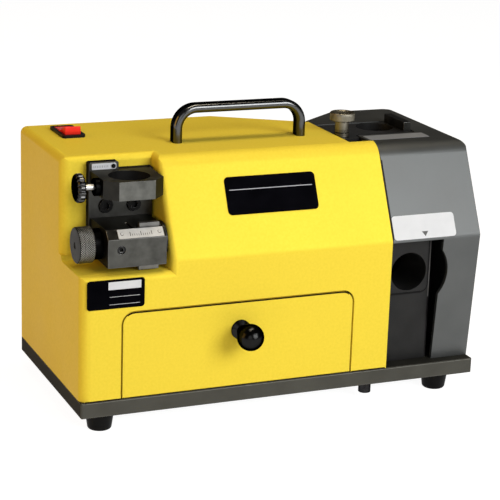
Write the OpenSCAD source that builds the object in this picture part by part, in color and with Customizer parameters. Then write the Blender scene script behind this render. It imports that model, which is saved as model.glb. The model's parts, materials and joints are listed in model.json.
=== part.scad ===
// Bench-top end mill re-sharpener: a small tool and cutter grinder with a setting gauge.
// X runs left to right, Y front to back and Z up, in millimetres.
// The origin lies on the floor, under the middle of the machine's box.

/* [Base] */
// Length of the base plate, left to right
base_length = 321; // [305:1:340]
// Depth of the base plate, front to back
base_depth = 158; // [150:1:166]
// Thickness of the base plate
base_thickness = 12; // [8:0.5:14]
// Radius of the base plate's upright corners
base_corner_r = 2; // [1:0.5:6]
// Bevel of the base plate's edges
base_bevel = 0.7; // [0.3:0.1:1.5]
// Height of a rubber foot
foot_height = 14; // [12:0.5:20]
// Diameter of a foot under the plate
foot_top_d = 21.5; // [19:0.5:26]
// Diameter of a foot at the floor
foot_bottom_d = 17.5; // [15:0.5:20]
// Rounding of a foot's lower edge
foot_edge_r = 2; // [1:0.25:3]
// Distance of the left feet from the plate's left end
foot_inset_left = 19; // [14:0.5:26]
// Distance of the right feet from the plate's right end
foot_inset_right = 25; // [14:0.5:26]
// Distance of the feet from the plate's front and back edges
foot_inset_y = 15.5; // [13:0.5:22]
// Thread diameter of the foot screws
foot_screw_d = 5; // [4:0.5:6]

/* [Cover] */
// Height of the cover above the base plate
cover_height = 170; // [160:1:182]
// Wall thickness of the cover
cover_wall = 3; // [2:0.25:4]
// Setback of the cover's front from the plate's front edge
cover_setback = 0.5; // [0.3:0.1:2]
// Height of the crease where the front starts to slant, above the plate
crease_height = 101; // [98:0.5:106]
// How far the slanting front runs back from crease to top
slant_depth = 34; // [28:0.5:40]
// Rounding between the slanting front and the top
brow_r = 14.5; // [8:0.5:18]
// Rounding of the crease
crease_r = 10; // [4:0.5:20]
// Rounding of the upright corners
corner_r = 8; // [6:0.5:12]
// Rounding of the top's left edge
top_edge_r = 6; // [5:0.5:9]
// Rounding of the cover's upright back corner
back_corner_r = 2; // [1:0.5:6]
// Rounding of the top's back edge and of the fold up the hood's front
fold_r = 1; // [0.5:0.5:4]
// Width of the notch in the top's right end
notch_width = 20; // [16:0.5:24]
// Distance from the plunger's middle forward to the notch's front edge
notch_forward = 31; // [28:0.5:35]
// Length of the bevelled rear corner, left to right
bevel_length = 69.5; // [60:0.5:74]
// Depth of the bevelled rear corner, front to back
bevel_depth = 41.5; // [36:0.5:44]

/* [Gauge pocket] */
// Width of the pocket in the left front corner
pocket_width = 68; // [66:0.5:74]
// Depth of the pocket, from the plate's front edge
pocket_depth = 49.5; // [48:0.5:52]
// Height of the pocket's floor above the base plate
pocket_height = 93; // [88:0.5:96]
// Rounding of the pocket's outer edges
pocket_edge_r = 5; // [4:0.5:6]
// Rounding where the pocket's floor meets its back wall
pocket_fillet_r = 4; // [2:0.5:5]

/* [Hood] */
// Width of the wheel hood
hood_width = 76; // [72:0.5:84]
// Wall thickness of the hood
hood_wall = 3; // [2:0.25:4]
// Gap between the cover and the hood
hood_gap = 0.6; // [0.4:0.1:1]
// How much lower the hood's top lies than the cover's
hood_step = 2; // [1:0.5:5]
// How far the foot of the hood's front lies behind its crease
hood_lean = 9; // [6:0.5:10]
// Rounding of the hood's upright back corner
hood_corner_r = 15; // [8:0.5:18]
// Rounding of the hood's top right edge
hood_edge_r = 5; // [4:0.5:8]
// Length of the hood's bevelled rear corner, left to right
hood_bevel_length = 38; // [32:0.5:42]
// Depth of the hood's bevelled rear corner, front to back
hood_bevel_depth = 29.5; // [26:0.5:31]
// Height of the front opening above the base plate
mouth_height = 99.5; // [94:0.5:100]
// Width of the front opening right of the front bore's axis
mouth_reach = 23.4; // [21:0.2:25]
// Radius of the round bulge of the front opening
mouth_bulge_r = 29.5; // [27:0.5:32]
// Distance from the top bore's axis to the top opening's front edge
top_opening_front = 27; // [25:0.5:30]
// Distance from the top bore's axis to the top opening's back edge
top_opening_back = 16; // [15.5:0.25:17]
// Distance from the top bore's axis to the top opening's right edge
top_opening_right = 22.7; // [22:0.1:25]

/* [Seats and plunger] */
// Bore that takes the collet chuck, in both seats and in the gauge
chuck_bore_d = 30; // [28:0.5:32]
// Distance of the front bore's axis from the plate's right end
front_bore_inset = 55.4; // [53:0.2:57]
// Thickness of the front seat's upright wall
front_seat_t = 10.5; // [8:0.5:14]
// Distance of the front seat's wall from the plate's front edge
front_seat_y = 13.5; // [12.5:0.25:15]
// Width of the front seat's wall, right of its bore axis
front_seat_right = 21.5; // [20:0.5:22.5]
// Width of the front seat's wall, left of its bore axis
front_seat_left = 17.5; // [17:0.5:18.5]
// Space between the front seat and the hood's slanting front
front_seat_space = 1; // [0.5:0.25:3]
// Rounding of the front seat's right edge
front_seat_r = 3; // [1:0.5:4]
// Wall round a seat's bore
seat_wall = 5; // [4:0.5:6]
// How far the front seat's raised face stands out
seat_face_t = 2.5; // [1.5:0.25:3]
// Half the width of the front seat's raised face
seat_face_half = 16.5; // [16:0.25:18]
// Corner rounding of the front seat's raised face
seat_face_r = 5; // [3:0.5:6]
// Width and depth of the groove beside the raised face
seat_groove = 0.9; // [0.6:0.1:1.2]
// Distance of the top bore's axis from the plate's right end
top_bore_inset = 47.2; // [46:0.2:49]
// Thickness of the top seat's plate
top_seat_t = 12; // [9:0.5:15]
// How far the top seat lies below the hood's top
top_seat_drop = 0.5; // [0.3:0.1:2]
// Space between a seat and the grinding wheel
wheel_space = 7.5; // [5:0.5:9]
// Height of the stop bar on the top seat
fence_height = 7; // [4:0.5:9]
// Width of the stop bar on the top seat
fence_width = 6.4; // [5:0.2:7]
// Length of the stop bar on the top seat
fence_length = 34; // [28:1:36]
// Thickness of the post under the top seat
post_t = 9; // [7:0.5:10]
// Diameter of the plunger's knurled head
plunger_head_d = 19.5; // [17:0.5:22]
// Height of the plunger's knurled head
plunger_head_h = 6.5; // [5:0.5:8]
// Diameter of the plunger's neck
plunger_neck_d = 11; // [9:0.5:13]
// Height from the seat to the plunger's head
plunger_neck_h = 12.5; // [8:0.5:14]
// Diameter of the plunger's pin
plunger_pin_d = 6; // [4:0.5:7]
// How far the plunger is pulled up
plunger_travel = 6; // [4:0.5:8]
// Distance from the wheel's axis forward to the plunger
plunger_forward = 23.5; // [22:0.5:25]

/* [Spindle and motor] */
// Distance of the spindle from the plate's back edge
spindle_inset = 61; // [59:0.5:64]
// Height of the spindle above the base plate
spindle_height = 72.6; // [70:0.2:75]
// Diameter of the spindle
spindle_d = 12; // [10:0.5:13]
// Outer diameter of the spindle bearings
bearing_d = 28; // [26:0.5:30]
// Width of the spindle bearings
bearing_w = 8; // [7:0.5:9]
// Outer diameter of the grinding wheel
wheel_d = 78; // [70:1:82]
// Width of the grinding wheel
wheel_w = 12; // [9:0.5:13]
// Depth of the abrasive rim
rim_depth = 8; // [5:0.5:10]
// Thickness of the upright bulkhead that carries the spindle
bulkhead_t = 12; // [11:0.5:13]
// Outer diameter of the motor
motor_d = 60; // [56:0.5:61]
// Length of the motor's can
motor_length = 92; // [84:1:100]
// Length of the motor's tapered nose
nose_length = 30; // [29:0.5:34]
// Wall of the motor's can
motor_wall = 2.5; // [2:0.25:3.5]
// Depth of the motor's windings
winding_depth = 9; // [7:0.5:10]
// Air gap between the motor's rotor and its windings
air_gap = 1; // [0.5:0.25:1.5]
// Thickness of the motor's rear bell
bell_t = 10; // [9:0.5:12]
// Width of the cradle under the motor
cradle_w = 24; // [18:1:30]
// How far the cradle's foot stands out beside its saddle
cradle_foot = 8; // [6:0.5:10]

/* [Drawer] */
// Distance of the drawer from either end of the cover
drawer_margin = 31; // [28:0.5:34]
// Height of the drawer's front
drawer_height = 65.3; // [58:0.5:72]
// Gap round the drawer's front
drawer_gap = 1; // [0.6:0.1:1.5]
// Rounding of the drawer front's top corners
drawer_corner_r = 9; // [6:0.5:12]
// Wall of the drawer's tray
tray_wall = 2; // [1.5:0.25:3]
// How much lower the tray is than the drawer's front
tray_drop = 8; // [6:0.5:14]
// How far the tray's sides lie inside the drawer front's ends
tray_inset = 5; // [4:0.5:8]
// Rounding of the tray's upright corners
tray_r = 4; // [2.5:0.5:6]
// Space between the tray and the motor
tray_space = 9; // [6:0.5:12]
// Height of the drawer's runners
runner_height = 12; // [8:0.5:16]
// Thickness of the drawer's runners
runner_t = 2; // [1.5:0.25:3]
// Diameter of the drawer's ball knob
ball_d = 20; // [16:0.5:24]
// Distance from the drawer's front to the ball's middle
ball_reach = 19; // [15:0.5:22]
// Height of the ball knob above the base plate
ball_height = 44; // [34:0.5:48]

/* [Handle] */
// Distance between the middles of the handle's legs
handle_span = 100.8; // [90:0.2:110]
// Distance of the right leg from the notch in the top
handle_offset = 27; // [20:0.5:34]
// Distance of the handle from the plate's front edge
handle_y = 76; // [70:0.5:82]
// Height of the handle above the cover
handle_height = 29; // [27:0.5:36]
// Thickness of the handle's bar, in the plane of the handle
handle_bar_t = 7; // [5:0.5:9]
// Width of the handle's bar, front to back
handle_bar_w = 12; // [10:0.5:16]
// Rounding of the bar's edges
handle_edge_r = 2.6; // [1.5:0.1:3.2]
// Outer radius of the handle's bends
handle_bend_r = 18.5; // [14:0.5:22]
// Thread diameter of the handle's screws
handle_screw_d = 4; // [3:0.5:5]

/* [Switch and power inlet] */
// Distance of the switch's middle from the plate's left end
switch_x = 28; // [24:0.5:34]
// Distance of the switch's middle from the plate's back edge
switch_inset = 32.5; // [26:0.5:36]
// Width of the switch's bezel
bezel_w = 18; // [16:0.5:20]
// Length of the switch's bezel
bezel_l = 36; // [32:0.5:40]
// Height of the switch's bezel
bezel_h = 2.2; // [1.5:0.1:3]
// Frame width of the switch's bezel
bezel_frame = 2.6; // [2:0.1:3.2]
// Tilt of the rocker at either stop
rocker_tilt = 12; // [8:0.5:14]
// Height of the rocker's ends above its pivot
rocker_end_h = 3.4; // [2.5:0.1:4]
// Depth of the switch's body under the cover
switch_depth = 22; // [18:0.5:28]
// Distance of the power inlet from the plate's left end
inlet_x = 60; // [50:1:80]
// Height of the power inlet above the base plate
inlet_height = 46; // [40:1:60]
// Width of the power inlet's body
inlet_w = 28; // [26:0.5:30]
// Height of the power inlet's body
inlet_h = 20; // [18:0.5:22]
// Depth of the power inlet's body
inlet_depth = 18; // [16:0.5:22]
// Thickness of the power inlet's flange
inlet_flange_t = 2.5; // [2:0.25:3.5]
// Width of the power inlet's flange on each side
inlet_ear = 9; // [7:0.5:11]
// Distance between the inlet's contact blades
blade_pitch = 7; // [6:0.25:7.5]

/* [Setting gauge] */
// Distance of the gauge's bore from the pocket's right wall
gauge_inset = 26; // [25.5:0.1:27]
// Distance of the gauge's bore from the plate's front edge
gauge_y = 22.5; // [21.5:0.25:23.5]
// Wall beside the gauge's bore, left and right
ring_wall = 7.5; // [6.5:0.25:8]
// Wall in front of the gauge's bore
ring_front_wall = 3.5; // [2.5:0.25:4]
// Bevel of the ring's front corners
ring_bevel = 9; // [6:0.5:10]
// Height of the ring
ring_height = 13.7; // [11:0.1:16]
// Height of the ring's underside above the pocket's floor
ring_level = 54; // [50:0.5:58]
// Thickness of the gauge's back plate
gauge_plate_t = 7; // [6:0.25:8]
// Height of the gauge's back plate above the ring's top
gauge_tab_h = 5.8; // [4:0.2:7]
// Width of the tab on the gauge's back plate
gauge_tab_w = 22.5; // [18:0.5:26]
// Height of the index strip on the tab
strip_h = 4.5; // [3:0.25:4.75]
// Thickness of the index strip
strip_t = 0.6; // [0.4:0.1:1]
// Height of the gauge's screws above the pocket's floor
gauge_screw_level = 41; // [39:0.5:43]
// Distance between the gauge's screws
gauge_screw_gap = 21.5; // [18:0.5:24]
// Head diameter of the gauge's screws
gauge_screw_head_d = 10; // [9:0.25:11]
// Half the width of the lower block
block_half = 22; // [21.5:0.25:22.5]
// Height of the lower block
block_height = 26.6; // [25.5:0.1:28]
// Height of the lower block above the pocket's floor
block_level = 6; // [5:0.25:7]
// Distance of the lower block's front from the plate's front edge
block_front = 2; // [1.5:0.25:2.5]
// Bevel along the lower block's front edge
block_bevel = 6; // [5:0.25:7]
// Height of the dial's axis above the lower block's underside
dial_level = 13; // [12.5:0.1:13.5]
// Diameter of the dial's knurled knob
dial_d = 26.6; // [22:0.2:27]
// Width of the dial's knurled knob
dial_w = 8.5; // [6:0.5:10]
// Width of the collar beside the dial
dial_collar_w = 6; // [4:0.5:8]
// Number of flutes on the dial's knob
dial_flutes = 72; // [48:1:96]
// Diameter of the dial's screw
dial_screw_d = 8; // [6:0.5:9]
// Width of the sliding stop plate
stop_w = 15; // [13:0.5:16]
// Thickness of the sliding stop plate
stop_t = 4; // [3:0.25:5]
// How far the stop plate stands out of the block, above and below
stop_reach = 3.25; // [2:0.25:3.5]
// How far the stop plate slides each way
stop_travel = 2; // [1:0.25:2.5]
// Distance of the stop plate from the gauge's bore, to the right
stop_offset = 11; // [9:0.25:11.5]
// Distance of the lock screw from the lower block's left end
lock_inset = 10; // [8:0.5:11]
// Diameter of the clamp's fluted knob
clamp_d = 21; // [18:0.5:22]
// Width of the clamp's fluted knob
clamp_w = 6; // [4:0.5:8]
// Number of flutes on the clamp's knob
clamp_flutes = 16; // [10:1:20]
// Diameter of the clamp's screw
clamp_screw_d = 5; // [4:0.5:6]
// Length of bare screw between the clamp's knob and its collar
clamp_bare = 6; // [4:0.5:8]
// Width of the clamp's collar
clamp_collar_w = 4; // [3:0.5:5]
// Diameter of the clamp's collar
clamp_collar_d = 13; // [11:0.5:13.5]
// How far the clamp's pad moves
clamp_travel = 2; // [1:0.25:2.5]

/* [Hidden] */
$fn = 64;
// Straight steps in each rounded corner of an outline
arc_steps = 7;
// Margin by which a cut passes the faces that it opens
over = 2;
// Space between pieces that move past each other
slip = 0.4;
// Radial clearance of a shaft in its bearing
running = 0.05;
// Clearance of a fixed screw in its hole
screw_slack = 0.1;

deck_z = foot_height + base_thickness;
cover_length = base_length - hood_width;
cover_top = deck_z + cover_height;
cover_front = cover_setback;
crease_z = deck_z + crease_height;
slant = slant_depth / (cover_height - crease_height);
notch_x = cover_length - notch_width;
bevel_x = notch_x - bevel_length;
bevel_y = base_depth - bevel_depth;
pocket_z = deck_z + pocket_height;

hood_left = cover_length + hood_gap;
hood_right = base_length;
hood_top = cover_top - hood_step;
spindle_y = base_depth - spindle_inset;
spindle_z = deck_z + spindle_height;
front_bore_x = base_length - front_bore_inset;
top_bore_x = base_length - top_bore_inset;
bore_r = chuck_bore_d / 2;
wheel_r = wheel_d / 2;
spindle_r = spindle_d / 2;
bearing_r = bearing_d / 2;
motor_r = motor_d / 2;
opening_front = spindle_y - top_opening_front;
opening_back = spindle_y + top_opening_back;
opening_right = top_bore_x + top_opening_right;
hood_bevel_x = notch_x + over + 1;

bulkhead_x = notch_x + 1;
bulkhead_end = bulkhead_x + bulkhead_t;
bulkhead_mid = bulkhead_x + bulkhead_t / 2;
bulkhead_back = base_depth - hood_bevel_depth - hood_wall - 1.5;
bulkhead_clear = 1;
bulkhead_screw_d = 6;
bulkhead_hole_r = bulkhead_screw_d / 2 + screw_slack;
bulkhead_screw_inset = 9;
bulkhead_screw_y = [cover_front + bulkhead_screw_inset, bulkhead_back - bulkhead_t];
cap_head_d = 9.6;
cap_head_h = 7;
cap_washer_d = 11;
cap_washer_t = 1.6;
cap_socket_d = 5.8;
cap_socket_h = 3;

seat_top = hood_top - top_seat_drop;
seat_under = seat_top - top_seat_t;
seat_left = bulkhead_x + 0.5;
seat_right = opening_right - slip;
seat_front = spindle_y - top_opening_front + 4.5;
seat_back = opening_back - slip;
seat_nose_front = spindle_y - plunger_forward - plunger_neck_d;
seat_nose_right = hood_left - slip;
top_boss_z = spindle_z + wheel_r + wheel_space;
post_left = top_bore_x + bore_r + seat_wall + slip;
post_right = post_left + post_t;
post_front = spindle_y - top_opening_back;
front_boss_y = spindle_y - wheel_r - wheel_space;
hood_slope_t = hood_wall / cos(atan(slant));
front_seat_top = crease_z + (front_seat_y - cover_front - hood_slope_t - front_seat_space) / slant;
plunger_x = bulkhead_mid + 1.5;
plunger_y = spindle_y - plunger_forward;
notch_y = plunger_y - notch_forward;
sleeve_h = 3;
sleeve_r = plunger_neck_d / 2 + 0.3;
wheel_mid = (front_bore_x + top_bore_x) / 2;
wheel_left = wheel_mid - wheel_w / 2;
wheel_right = wheel_mid + wheel_w / 2;
hub_r = 15;
hub_t = 6;
nut_t = 8;
nut_d = 21;

motor_nose_x = bulkhead_x - nose_length;
motor_can_x = motor_nose_x - motor_length;
motor_bell_x = motor_can_x - bell_t;
nose_r = bearing_r + 2;
stator_r = motor_r - motor_wall;
rotor_r = stator_r - winding_depth - air_gap;
winding_inset = 12;
cradle_x = motor_can_x + motor_length / 2 - cradle_w / 2;
cradle_half = motor_r * sin(50);

drawer_left = drawer_margin;
drawer_right = cover_length - drawer_margin;
drawer_floor = deck_z + 0.5;
drawer_top = deck_z + drawer_height;
drawer_back = spindle_y - motor_r - tray_space;
tray_left = drawer_left + tray_inset;
tray_right = drawer_right - tray_inset;
tray_top = drawer_top - tray_drop;
ball_r = ball_d / 2;
ball_x = (drawer_left + drawer_right) / 2;

handle_right_x = notch_x - handle_offset;
handle_left_x = handle_right_x - handle_span;
bend_r = handle_bend_r - handle_bar_t / 2;
handle_bar_z = cover_top + handle_height - handle_bar_t / 2;

switch_y = base_depth - switch_inset;
switch_well_w = bezel_w - 2 * bezel_frame;
switch_well_l = bezel_l - 2 * bezel_frame;
switch_body_w = switch_well_w + 2;
switch_body_l = switch_well_l + 2;
rocker_z = cover_top + bezel_h - 0.6;
rocker_half = switch_well_l / 2 - 1;
inlet_z = deck_z + inlet_height;

gauge_x = pocket_width - gauge_inset;
gauge_face_y = pocket_depth - gauge_plate_t;
ring_half = bore_r + ring_wall;
ring_z = pocket_z + ring_level;
ring_top = ring_z + ring_height;
ring_front = gauge_y - bore_r - ring_front_wall;
gauge_left = gauge_x - ring_half - 1;
gauge_right = pocket_width - 1;
gauge_tab_z = ring_top + gauge_tab_h;
gauge_screw_z = pocket_z + gauge_screw_level;
block_z = pocket_z + block_level;
block_top = block_z + block_height;
block_left = gauge_x - block_half;
block_right = gauge_x + block_half;
dial_z = block_z + dial_level;
dial_screw_r = dial_screw_d / 2;
stop_x = gauge_x + stop_offset;
stop_y = block_front + block_bevel + 1;
nut_half_w = 5;
nut_half_h = dial_screw_r + 3;
clamp_z = ring_z + ring_height / 2;
clamp_screw_r = clamp_screw_d / 2;
ring_left = gauge_x - ring_half;
clamp_collar_x = ring_left - clamp_collar_w;
clamp_knob_x = clamp_collar_x - clamp_bare - clamp_w;
pad_length = 4;

origin_x = base_length / 2;
origin_y = (base_depth + inlet_flange_t - (ball_reach + ball_r - cover_front)) / 2;

// Points of the arc that rounds the corner b between a and c
function corner_arc(a, b, c, r) =
    let (
        u = (a - b) / norm(a - b),
        v = (c - b) / norm(c - b),
        half = acos(u * v) / 2,
        start = b + u * r / tan(half),
        finish = b + v * r / tan(half),
        centre = b + (u + v) / norm(u + v) * r / sin(half),
        from = atan2(start[1] - centre[1], start[0] - centre[0]),
        turn = atan2(finish[1] - centre[1], finish[0] - centre[0]) - from,
        swing = turn > 180 ? turn - 360 : turn < -180 ? turn + 360 : turn
    )
    r == 0 ? [b] : [
        for (i = [0:arc_steps])
            centre + r * [cos(from + swing * i / arc_steps), sin(from + swing * i / arc_steps)]
    ];

// Outline with rounded corners, a radius for each point, negative at an inside corner
function rounded(points, radii) =
    let (n = len(points))
    [
        for (i = [0:n - 1])
            each corner_arc(points[(i + n - 1) % n], points[i], points[(i + 1) % n], abs(radii[i]))
    ];

// Unit normal on the left of the way from a to b
function left_normal(a, b) = [a[1] - b[1], b[0] - a[0]] / norm(b - a);

// Anticlockwise outline with each side moved inwards by its own gap
function inset(points, gaps) =
    let (n = len(points))
    [
        for (i = [0:n - 1])
            let (
                before = left_normal(points[(i + n - 1) % n], points[i]),
                after = left_normal(points[i], points[(i + 1) % n]),
                k = before * after,
                s = gaps[(i + n - 1) % n],
                t = gaps[i]
            )
            points[i] + ((s - k * t) * before + (t - k * s) * after) / (1 - k * k)
    ];

// Radii of an outline that is moved inwards by t
function inner_radii(radii, t) = [for (r = radii) r > 0 ? max(r - t, 0) : r < 0 ? r - t : 0];

function box_points(x0, y0, x1, y1) = [[x0, y0], [x1, y0], [x1, y1], [x0, y1]];

function all_four(r) = [r, r, r, r];

// Rectangle with its four corners bevelled
function bevelled_box(x0, y0, x1, y1, b) = [
    [x0 + b, y0], [x1 - b, y0], [x1, y0 + b], [x1, y1 - b],
    [x1 - b, y1], [x0 + b, y1], [x0, y1 - b], [x0, y0 + b]
];

// Cut that rounds a square corner, the body lying towards u and v
function edge_cut(corner, u, v, r) =
    concat(
        [corner - over * [u, v], corner + [u * r, -v * over]],
        corner_arc(corner + [u * r * 2, 0], corner, corner + [0, v * r * 2], r),
        [corner + [-u * over, v * r]]
    );

// Moves the model from the base plate's front left corner to its origin
module placed() {
    translate([-origin_x, -origin_y, 0])
        children();
}

// Outline in Y and Z, drawn out along X
module along_x(x0, x1) {
    translate([x0, 0, 0]) rotate([90, 0, 90]) linear_extrude(x1 - x0)
        children();
}

// Outline in X and Z, drawn out along Y
module along_y(y0, y1) {
    translate([0, y1, 0]) rotate([90, 0, 0]) linear_extrude(y1 - y0)
        children();
}

// Outline in X and Y, drawn out along Z
module along_z(z0, z1) {
    translate([0, 0, z0]) linear_extrude(z1 - z0)
        children();
}

module rod_x(x0, x1, r, y, z) {
    translate([x0, y, z]) rotate([0, 90, 0])
        cylinder(h = x1 - x0, r = r);
}

module rod_y(y0, y1, r, x, z) {
    translate([x, y0, z]) rotate([-90, 0, 0])
        cylinder(h = y1 - y0, r = r);
}

module rod_z(z0, z1, r, x, y) {
    translate([x, y, z0])
        cylinder(h = z1 - z0, r = r);
}

// Solid turned about X, its outline in X and radius
module turned_x(points, y, z) {
    translate([0, y, z]) rotate([0, 90, 0]) rotate_extrude()
        polygon([for (p = points) [p[1], p[0]]]);
}

module box(x0, y0, z0, x1, y1, z1) {
    translate([x0, y0, z0])
        cube([x1 - x0, y1 - y0, z1 - z0]);
}

// Socket-head cap screw that points up, its head's top at z
module cap_screw(x, y, z, thread_d, length) {
    difference() {
        union() {
            rod_z(z - cap_head_h, z, cap_head_d / 2, x, y);
            rod_z(z, z + cap_washer_t, cap_washer_d / 2, x, y);
            rod_z(z + cap_washer_t, z + cap_washer_t + length, thread_d / 2, x, y);
        }
        translate([x, y, z - cap_head_h - 1])
            cylinder(h = cap_socket_h + 1, d = cap_socket_d, $fn = 6);
    }
}

foot_x = [foot_inset_left, base_length - foot_inset_right];
foot_y = [foot_inset_y, base_depth - foot_inset_y];
foot_screw_r = foot_screw_d / 2;
foot_head_r = foot_screw_d * 0.9;
foot_head_h = foot_screw_d * 0.6;
foot_recess_h = foot_height / 2;
foot_screw_bite = base_thickness - 1;

module base_plate() {
    color("DimGray") placed()
        difference() {
            intersection() {
                along_z(foot_height, deck_z)
                    polygon(rounded(box_points(0, 0, base_length, base_depth), all_four(base_corner_r)));
                along_x(0, base_length)
                    polygon(bevelled_box(0, foot_height, base_depth, deck_z, base_bevel));
                along_y(0, base_depth)
                    polygon(bevelled_box(0, foot_height, base_length, deck_z, base_bevel));
            }
            for (x = foot_x, y = foot_y)
                rod_z(foot_height - 1, foot_height + foot_screw_bite, foot_screw_r + screw_slack, x, y);
            for (y = bulkhead_screw_y)
                rod_z(foot_height - 1, deck_z + 1, bulkhead_hole_r, bulkhead_mid, y);
        }
}

// Tapered rubber foot with a recess for its screw
module foot(x, y) {
    taper_x = (foot_top_d - foot_bottom_d) / 2;
    outline = rounded(
        [
            [foot_head_r + 0.4, 0],
            [foot_bottom_d / 2, 0],
            [foot_bottom_d / 2 + taper_x, foot_height],
            [foot_screw_r + screw_slack, foot_height],
            [foot_screw_r + screw_slack, foot_recess_h],
            [foot_head_r + 0.4, foot_recess_h]
        ],
        [0, foot_edge_r, 0, 0, 0, 0]
    );
    color("#1b1b1c") placed()
        translate([x, y, 0]) rotate_extrude()
            polygon(outline);
}

module foot_front_left() {
    foot(foot_x[0], foot_y[0]);
}

module foot_front_right() {
    foot(foot_x[1], foot_y[0]);
}

module foot_rear_left() {
    foot(foot_x[0], foot_y[1]);
}

module foot_rear_right() {
    foot(foot_x[1], foot_y[1]);
}

module foot_screws() {
    color("Silver") placed()
        for (x = foot_x, y = foot_y) {
            rod_z(foot_recess_h - foot_head_h, foot_recess_h, foot_head_r, x, y);
            rod_z(foot_recess_h, foot_height + foot_screw_bite - 1, foot_screw_r, x, y);
        }
}

// Side outline of the cover: upright front, crease, slanting front, top and back
cover_side = [
    [cover_front, deck_z],
    [base_depth, deck_z],
    [base_depth, cover_top],
    [cover_front + slant_depth, cover_top],
    [cover_front, crease_z]
];
cover_side_radii = [0, 0, fold_r, brow_r, crease_r];
// Side outline of the cover across the pocket
pocket_side = [
    [cover_front, deck_z],
    [base_depth, deck_z],
    [base_depth, cover_top],
    [pocket_depth, cover_top],
    [pocket_depth, pocket_z],
    [cover_front, pocket_z]
];
pocket_side_radii = [0, 0, fold_r, pocket_edge_r, -pocket_fillet_r, pocket_edge_r];
cover_plan = [
    [0, cover_front],
    [cover_length, cover_front],
    [cover_length, notch_y],
    [notch_x, notch_y],
    [notch_x, bevel_y],
    [bevel_x, base_depth],
    [0, base_depth]
];
cover_plan_radii = [corner_r, 0, 0, 0, 0, 0, back_corner_r];

// Rounds the pocket's right edge up the front, the slant and the top
module pocket_rim(t) {
    r = pocket_edge_r - t;
    wall_x = pocket_width + t;
    front_y = cover_front + t;
    back_y = pocket_depth + t;
    top_z = cover_top - t;
    floor_z = pocket_z - t;
    front_edge = edge_cut([wall_x, front_y], 1, 1, r);
    top_edge = edge_cut([wall_x, top_z], 1, -1, r);
    along_z(floor_z, crease_z)
        polygon(front_edge);
    translate([0, cover_front, crease_z]) rotate([-atan(slant), 0, 0]) along_z(-over, cover_height)
        polygon(edge_cut([wall_x, t], 1, 1, r));
    along_y(cover_front, back_y)
        polygon(top_edge);
    intersection() {
        along_y(back_y, back_y + r)
            polygon(top_edge);
        along_x(wall_x, wall_x + r)
            polygon(edge_cut([back_y, top_z], 1, -1, r));
    }
    intersection() {
        along_z(floor_z - r, floor_z)
            polygon(front_edge);
        along_x(wall_x, wall_x + r)
            polygon(edge_cut([front_y, floor_z], 1, -1, r));
    }
}

// The cover's outer form at t = 0, its hollow at the wall's thickness
module cover_form(t) {
    open = t > 0 ? -over : 0;
    side = inset(cover_side, [open, t, t, t, t]);
    pocket = inset(pocket_side, [open, t, t, t, t, t]);
    plan = inset(cover_plan, [t, open, open, open, t, t, t]);
    pocket_corner = [t, pocket_depth + t];
    difference() {
        intersection() {
            union() {
                along_x(pocket_width + t, cover_length + over)
                    polygon(rounded(side, inner_radii(cover_side_radii, t)));
                along_x(0, pocket_width + t)
                    polygon(rounded(pocket, inner_radii(pocket_side_radii, t)));
            }
            along_z(deck_z - over, cover_top + over)
                polygon(rounded(plan, inner_radii(cover_plan_radii, t)));
            along_y(-over, base_depth + over)
                polygon(rounded(
                    box_points(t, deck_z - over, cover_length + 2 * over, cover_top - t),
                    [0, 0, 0, top_edge_r - t]
                ));
        }
        along_z(pocket_z + pocket_fillet_r, cover_top + over)
            polygon(concat(
                [pocket_corner],
                corner_arc([t, base_depth], pocket_corner, [pocket_width, pocket_corner[1]], corner_r - t)
            ));
        pocket_rim(t);
    }
}

// Outline of the drawer's front, grown by a gap at the sides and the top
module drawer_outline(gap) {
    bottom = gap > 0 ? deck_z - over : drawer_floor;
    polygon(rounded(
        box_points(drawer_left - gap, bottom, drawer_right + gap, drawer_top + gap),
        [0, 0, drawer_corner_r + gap, drawer_corner_r + gap]
    ));
}

gauge_screw_r = gauge_screw_head_d * 0.3;
gauge_hole_r = gauge_screw_r + screw_slack;
handle_hole_r = handle_screw_d / 2 + screw_slack;
gauge_screw_x = [gauge_x - gauge_screw_gap / 2, gauge_x + gauge_screw_gap / 2];

module cover() {
    color("Gold") placed()
        difference() {
            cover_form(0);
            cover_form(cover_wall);
            along_y(-over, cover_front + 2 * cover_wall)
                drawer_outline(drawer_gap);
            box(
                switch_x - switch_body_w / 2 - screw_slack, switch_y - switch_body_l / 2 - screw_slack,
                cover_top - 2 * cover_wall,
                switch_x + switch_body_w / 2 + screw_slack, switch_y + switch_body_l / 2 + screw_slack,
                cover_top + over
            );
            box(
                inlet_x - inlet_w / 2 - screw_slack, base_depth - 2 * cover_wall,
                inlet_z - inlet_h / 2 - screw_slack,
                inlet_x + inlet_w / 2 + screw_slack, base_depth + over,
                inlet_z + inlet_h / 2 + screw_slack
            );
            for (x = [handle_left_x, handle_right_x])
                rod_z(cover_top - 2 * cover_wall, cover_top + over, handle_hole_r, x, handle_y);
            for (x = gauge_screw_x)
                rod_y(pocket_depth - over, pocket_depth + 2 * cover_wall, gauge_hole_r, x, gauge_screw_z);
        }
}

// Side outline of the hood, its front leaning back to its foot
hood_side = [
    [cover_front + hood_lean, deck_z],
    [base_depth, deck_z],
    [base_depth, hood_top],
    [cover_front + slant * (hood_top - crease_z), hood_top],
    [cover_front, crease_z]
];
hood_side_radii = [0, 0, fold_r, brow_r, crease_r];
hood_plan = [
    [hood_left, -over],
    [hood_right, -over],
    [hood_right, base_depth],
    [hood_bevel_x + hood_bevel_length, base_depth],
    [hood_bevel_x, base_depth - hood_bevel_depth],
    [hood_bevel_x, opening_back],
    [hood_left, opening_back]
];
hood_plan_radii = [0, 0, hood_corner_r, 0, 0, 0, 0];
hood_reach = base_depth * 2;

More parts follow.
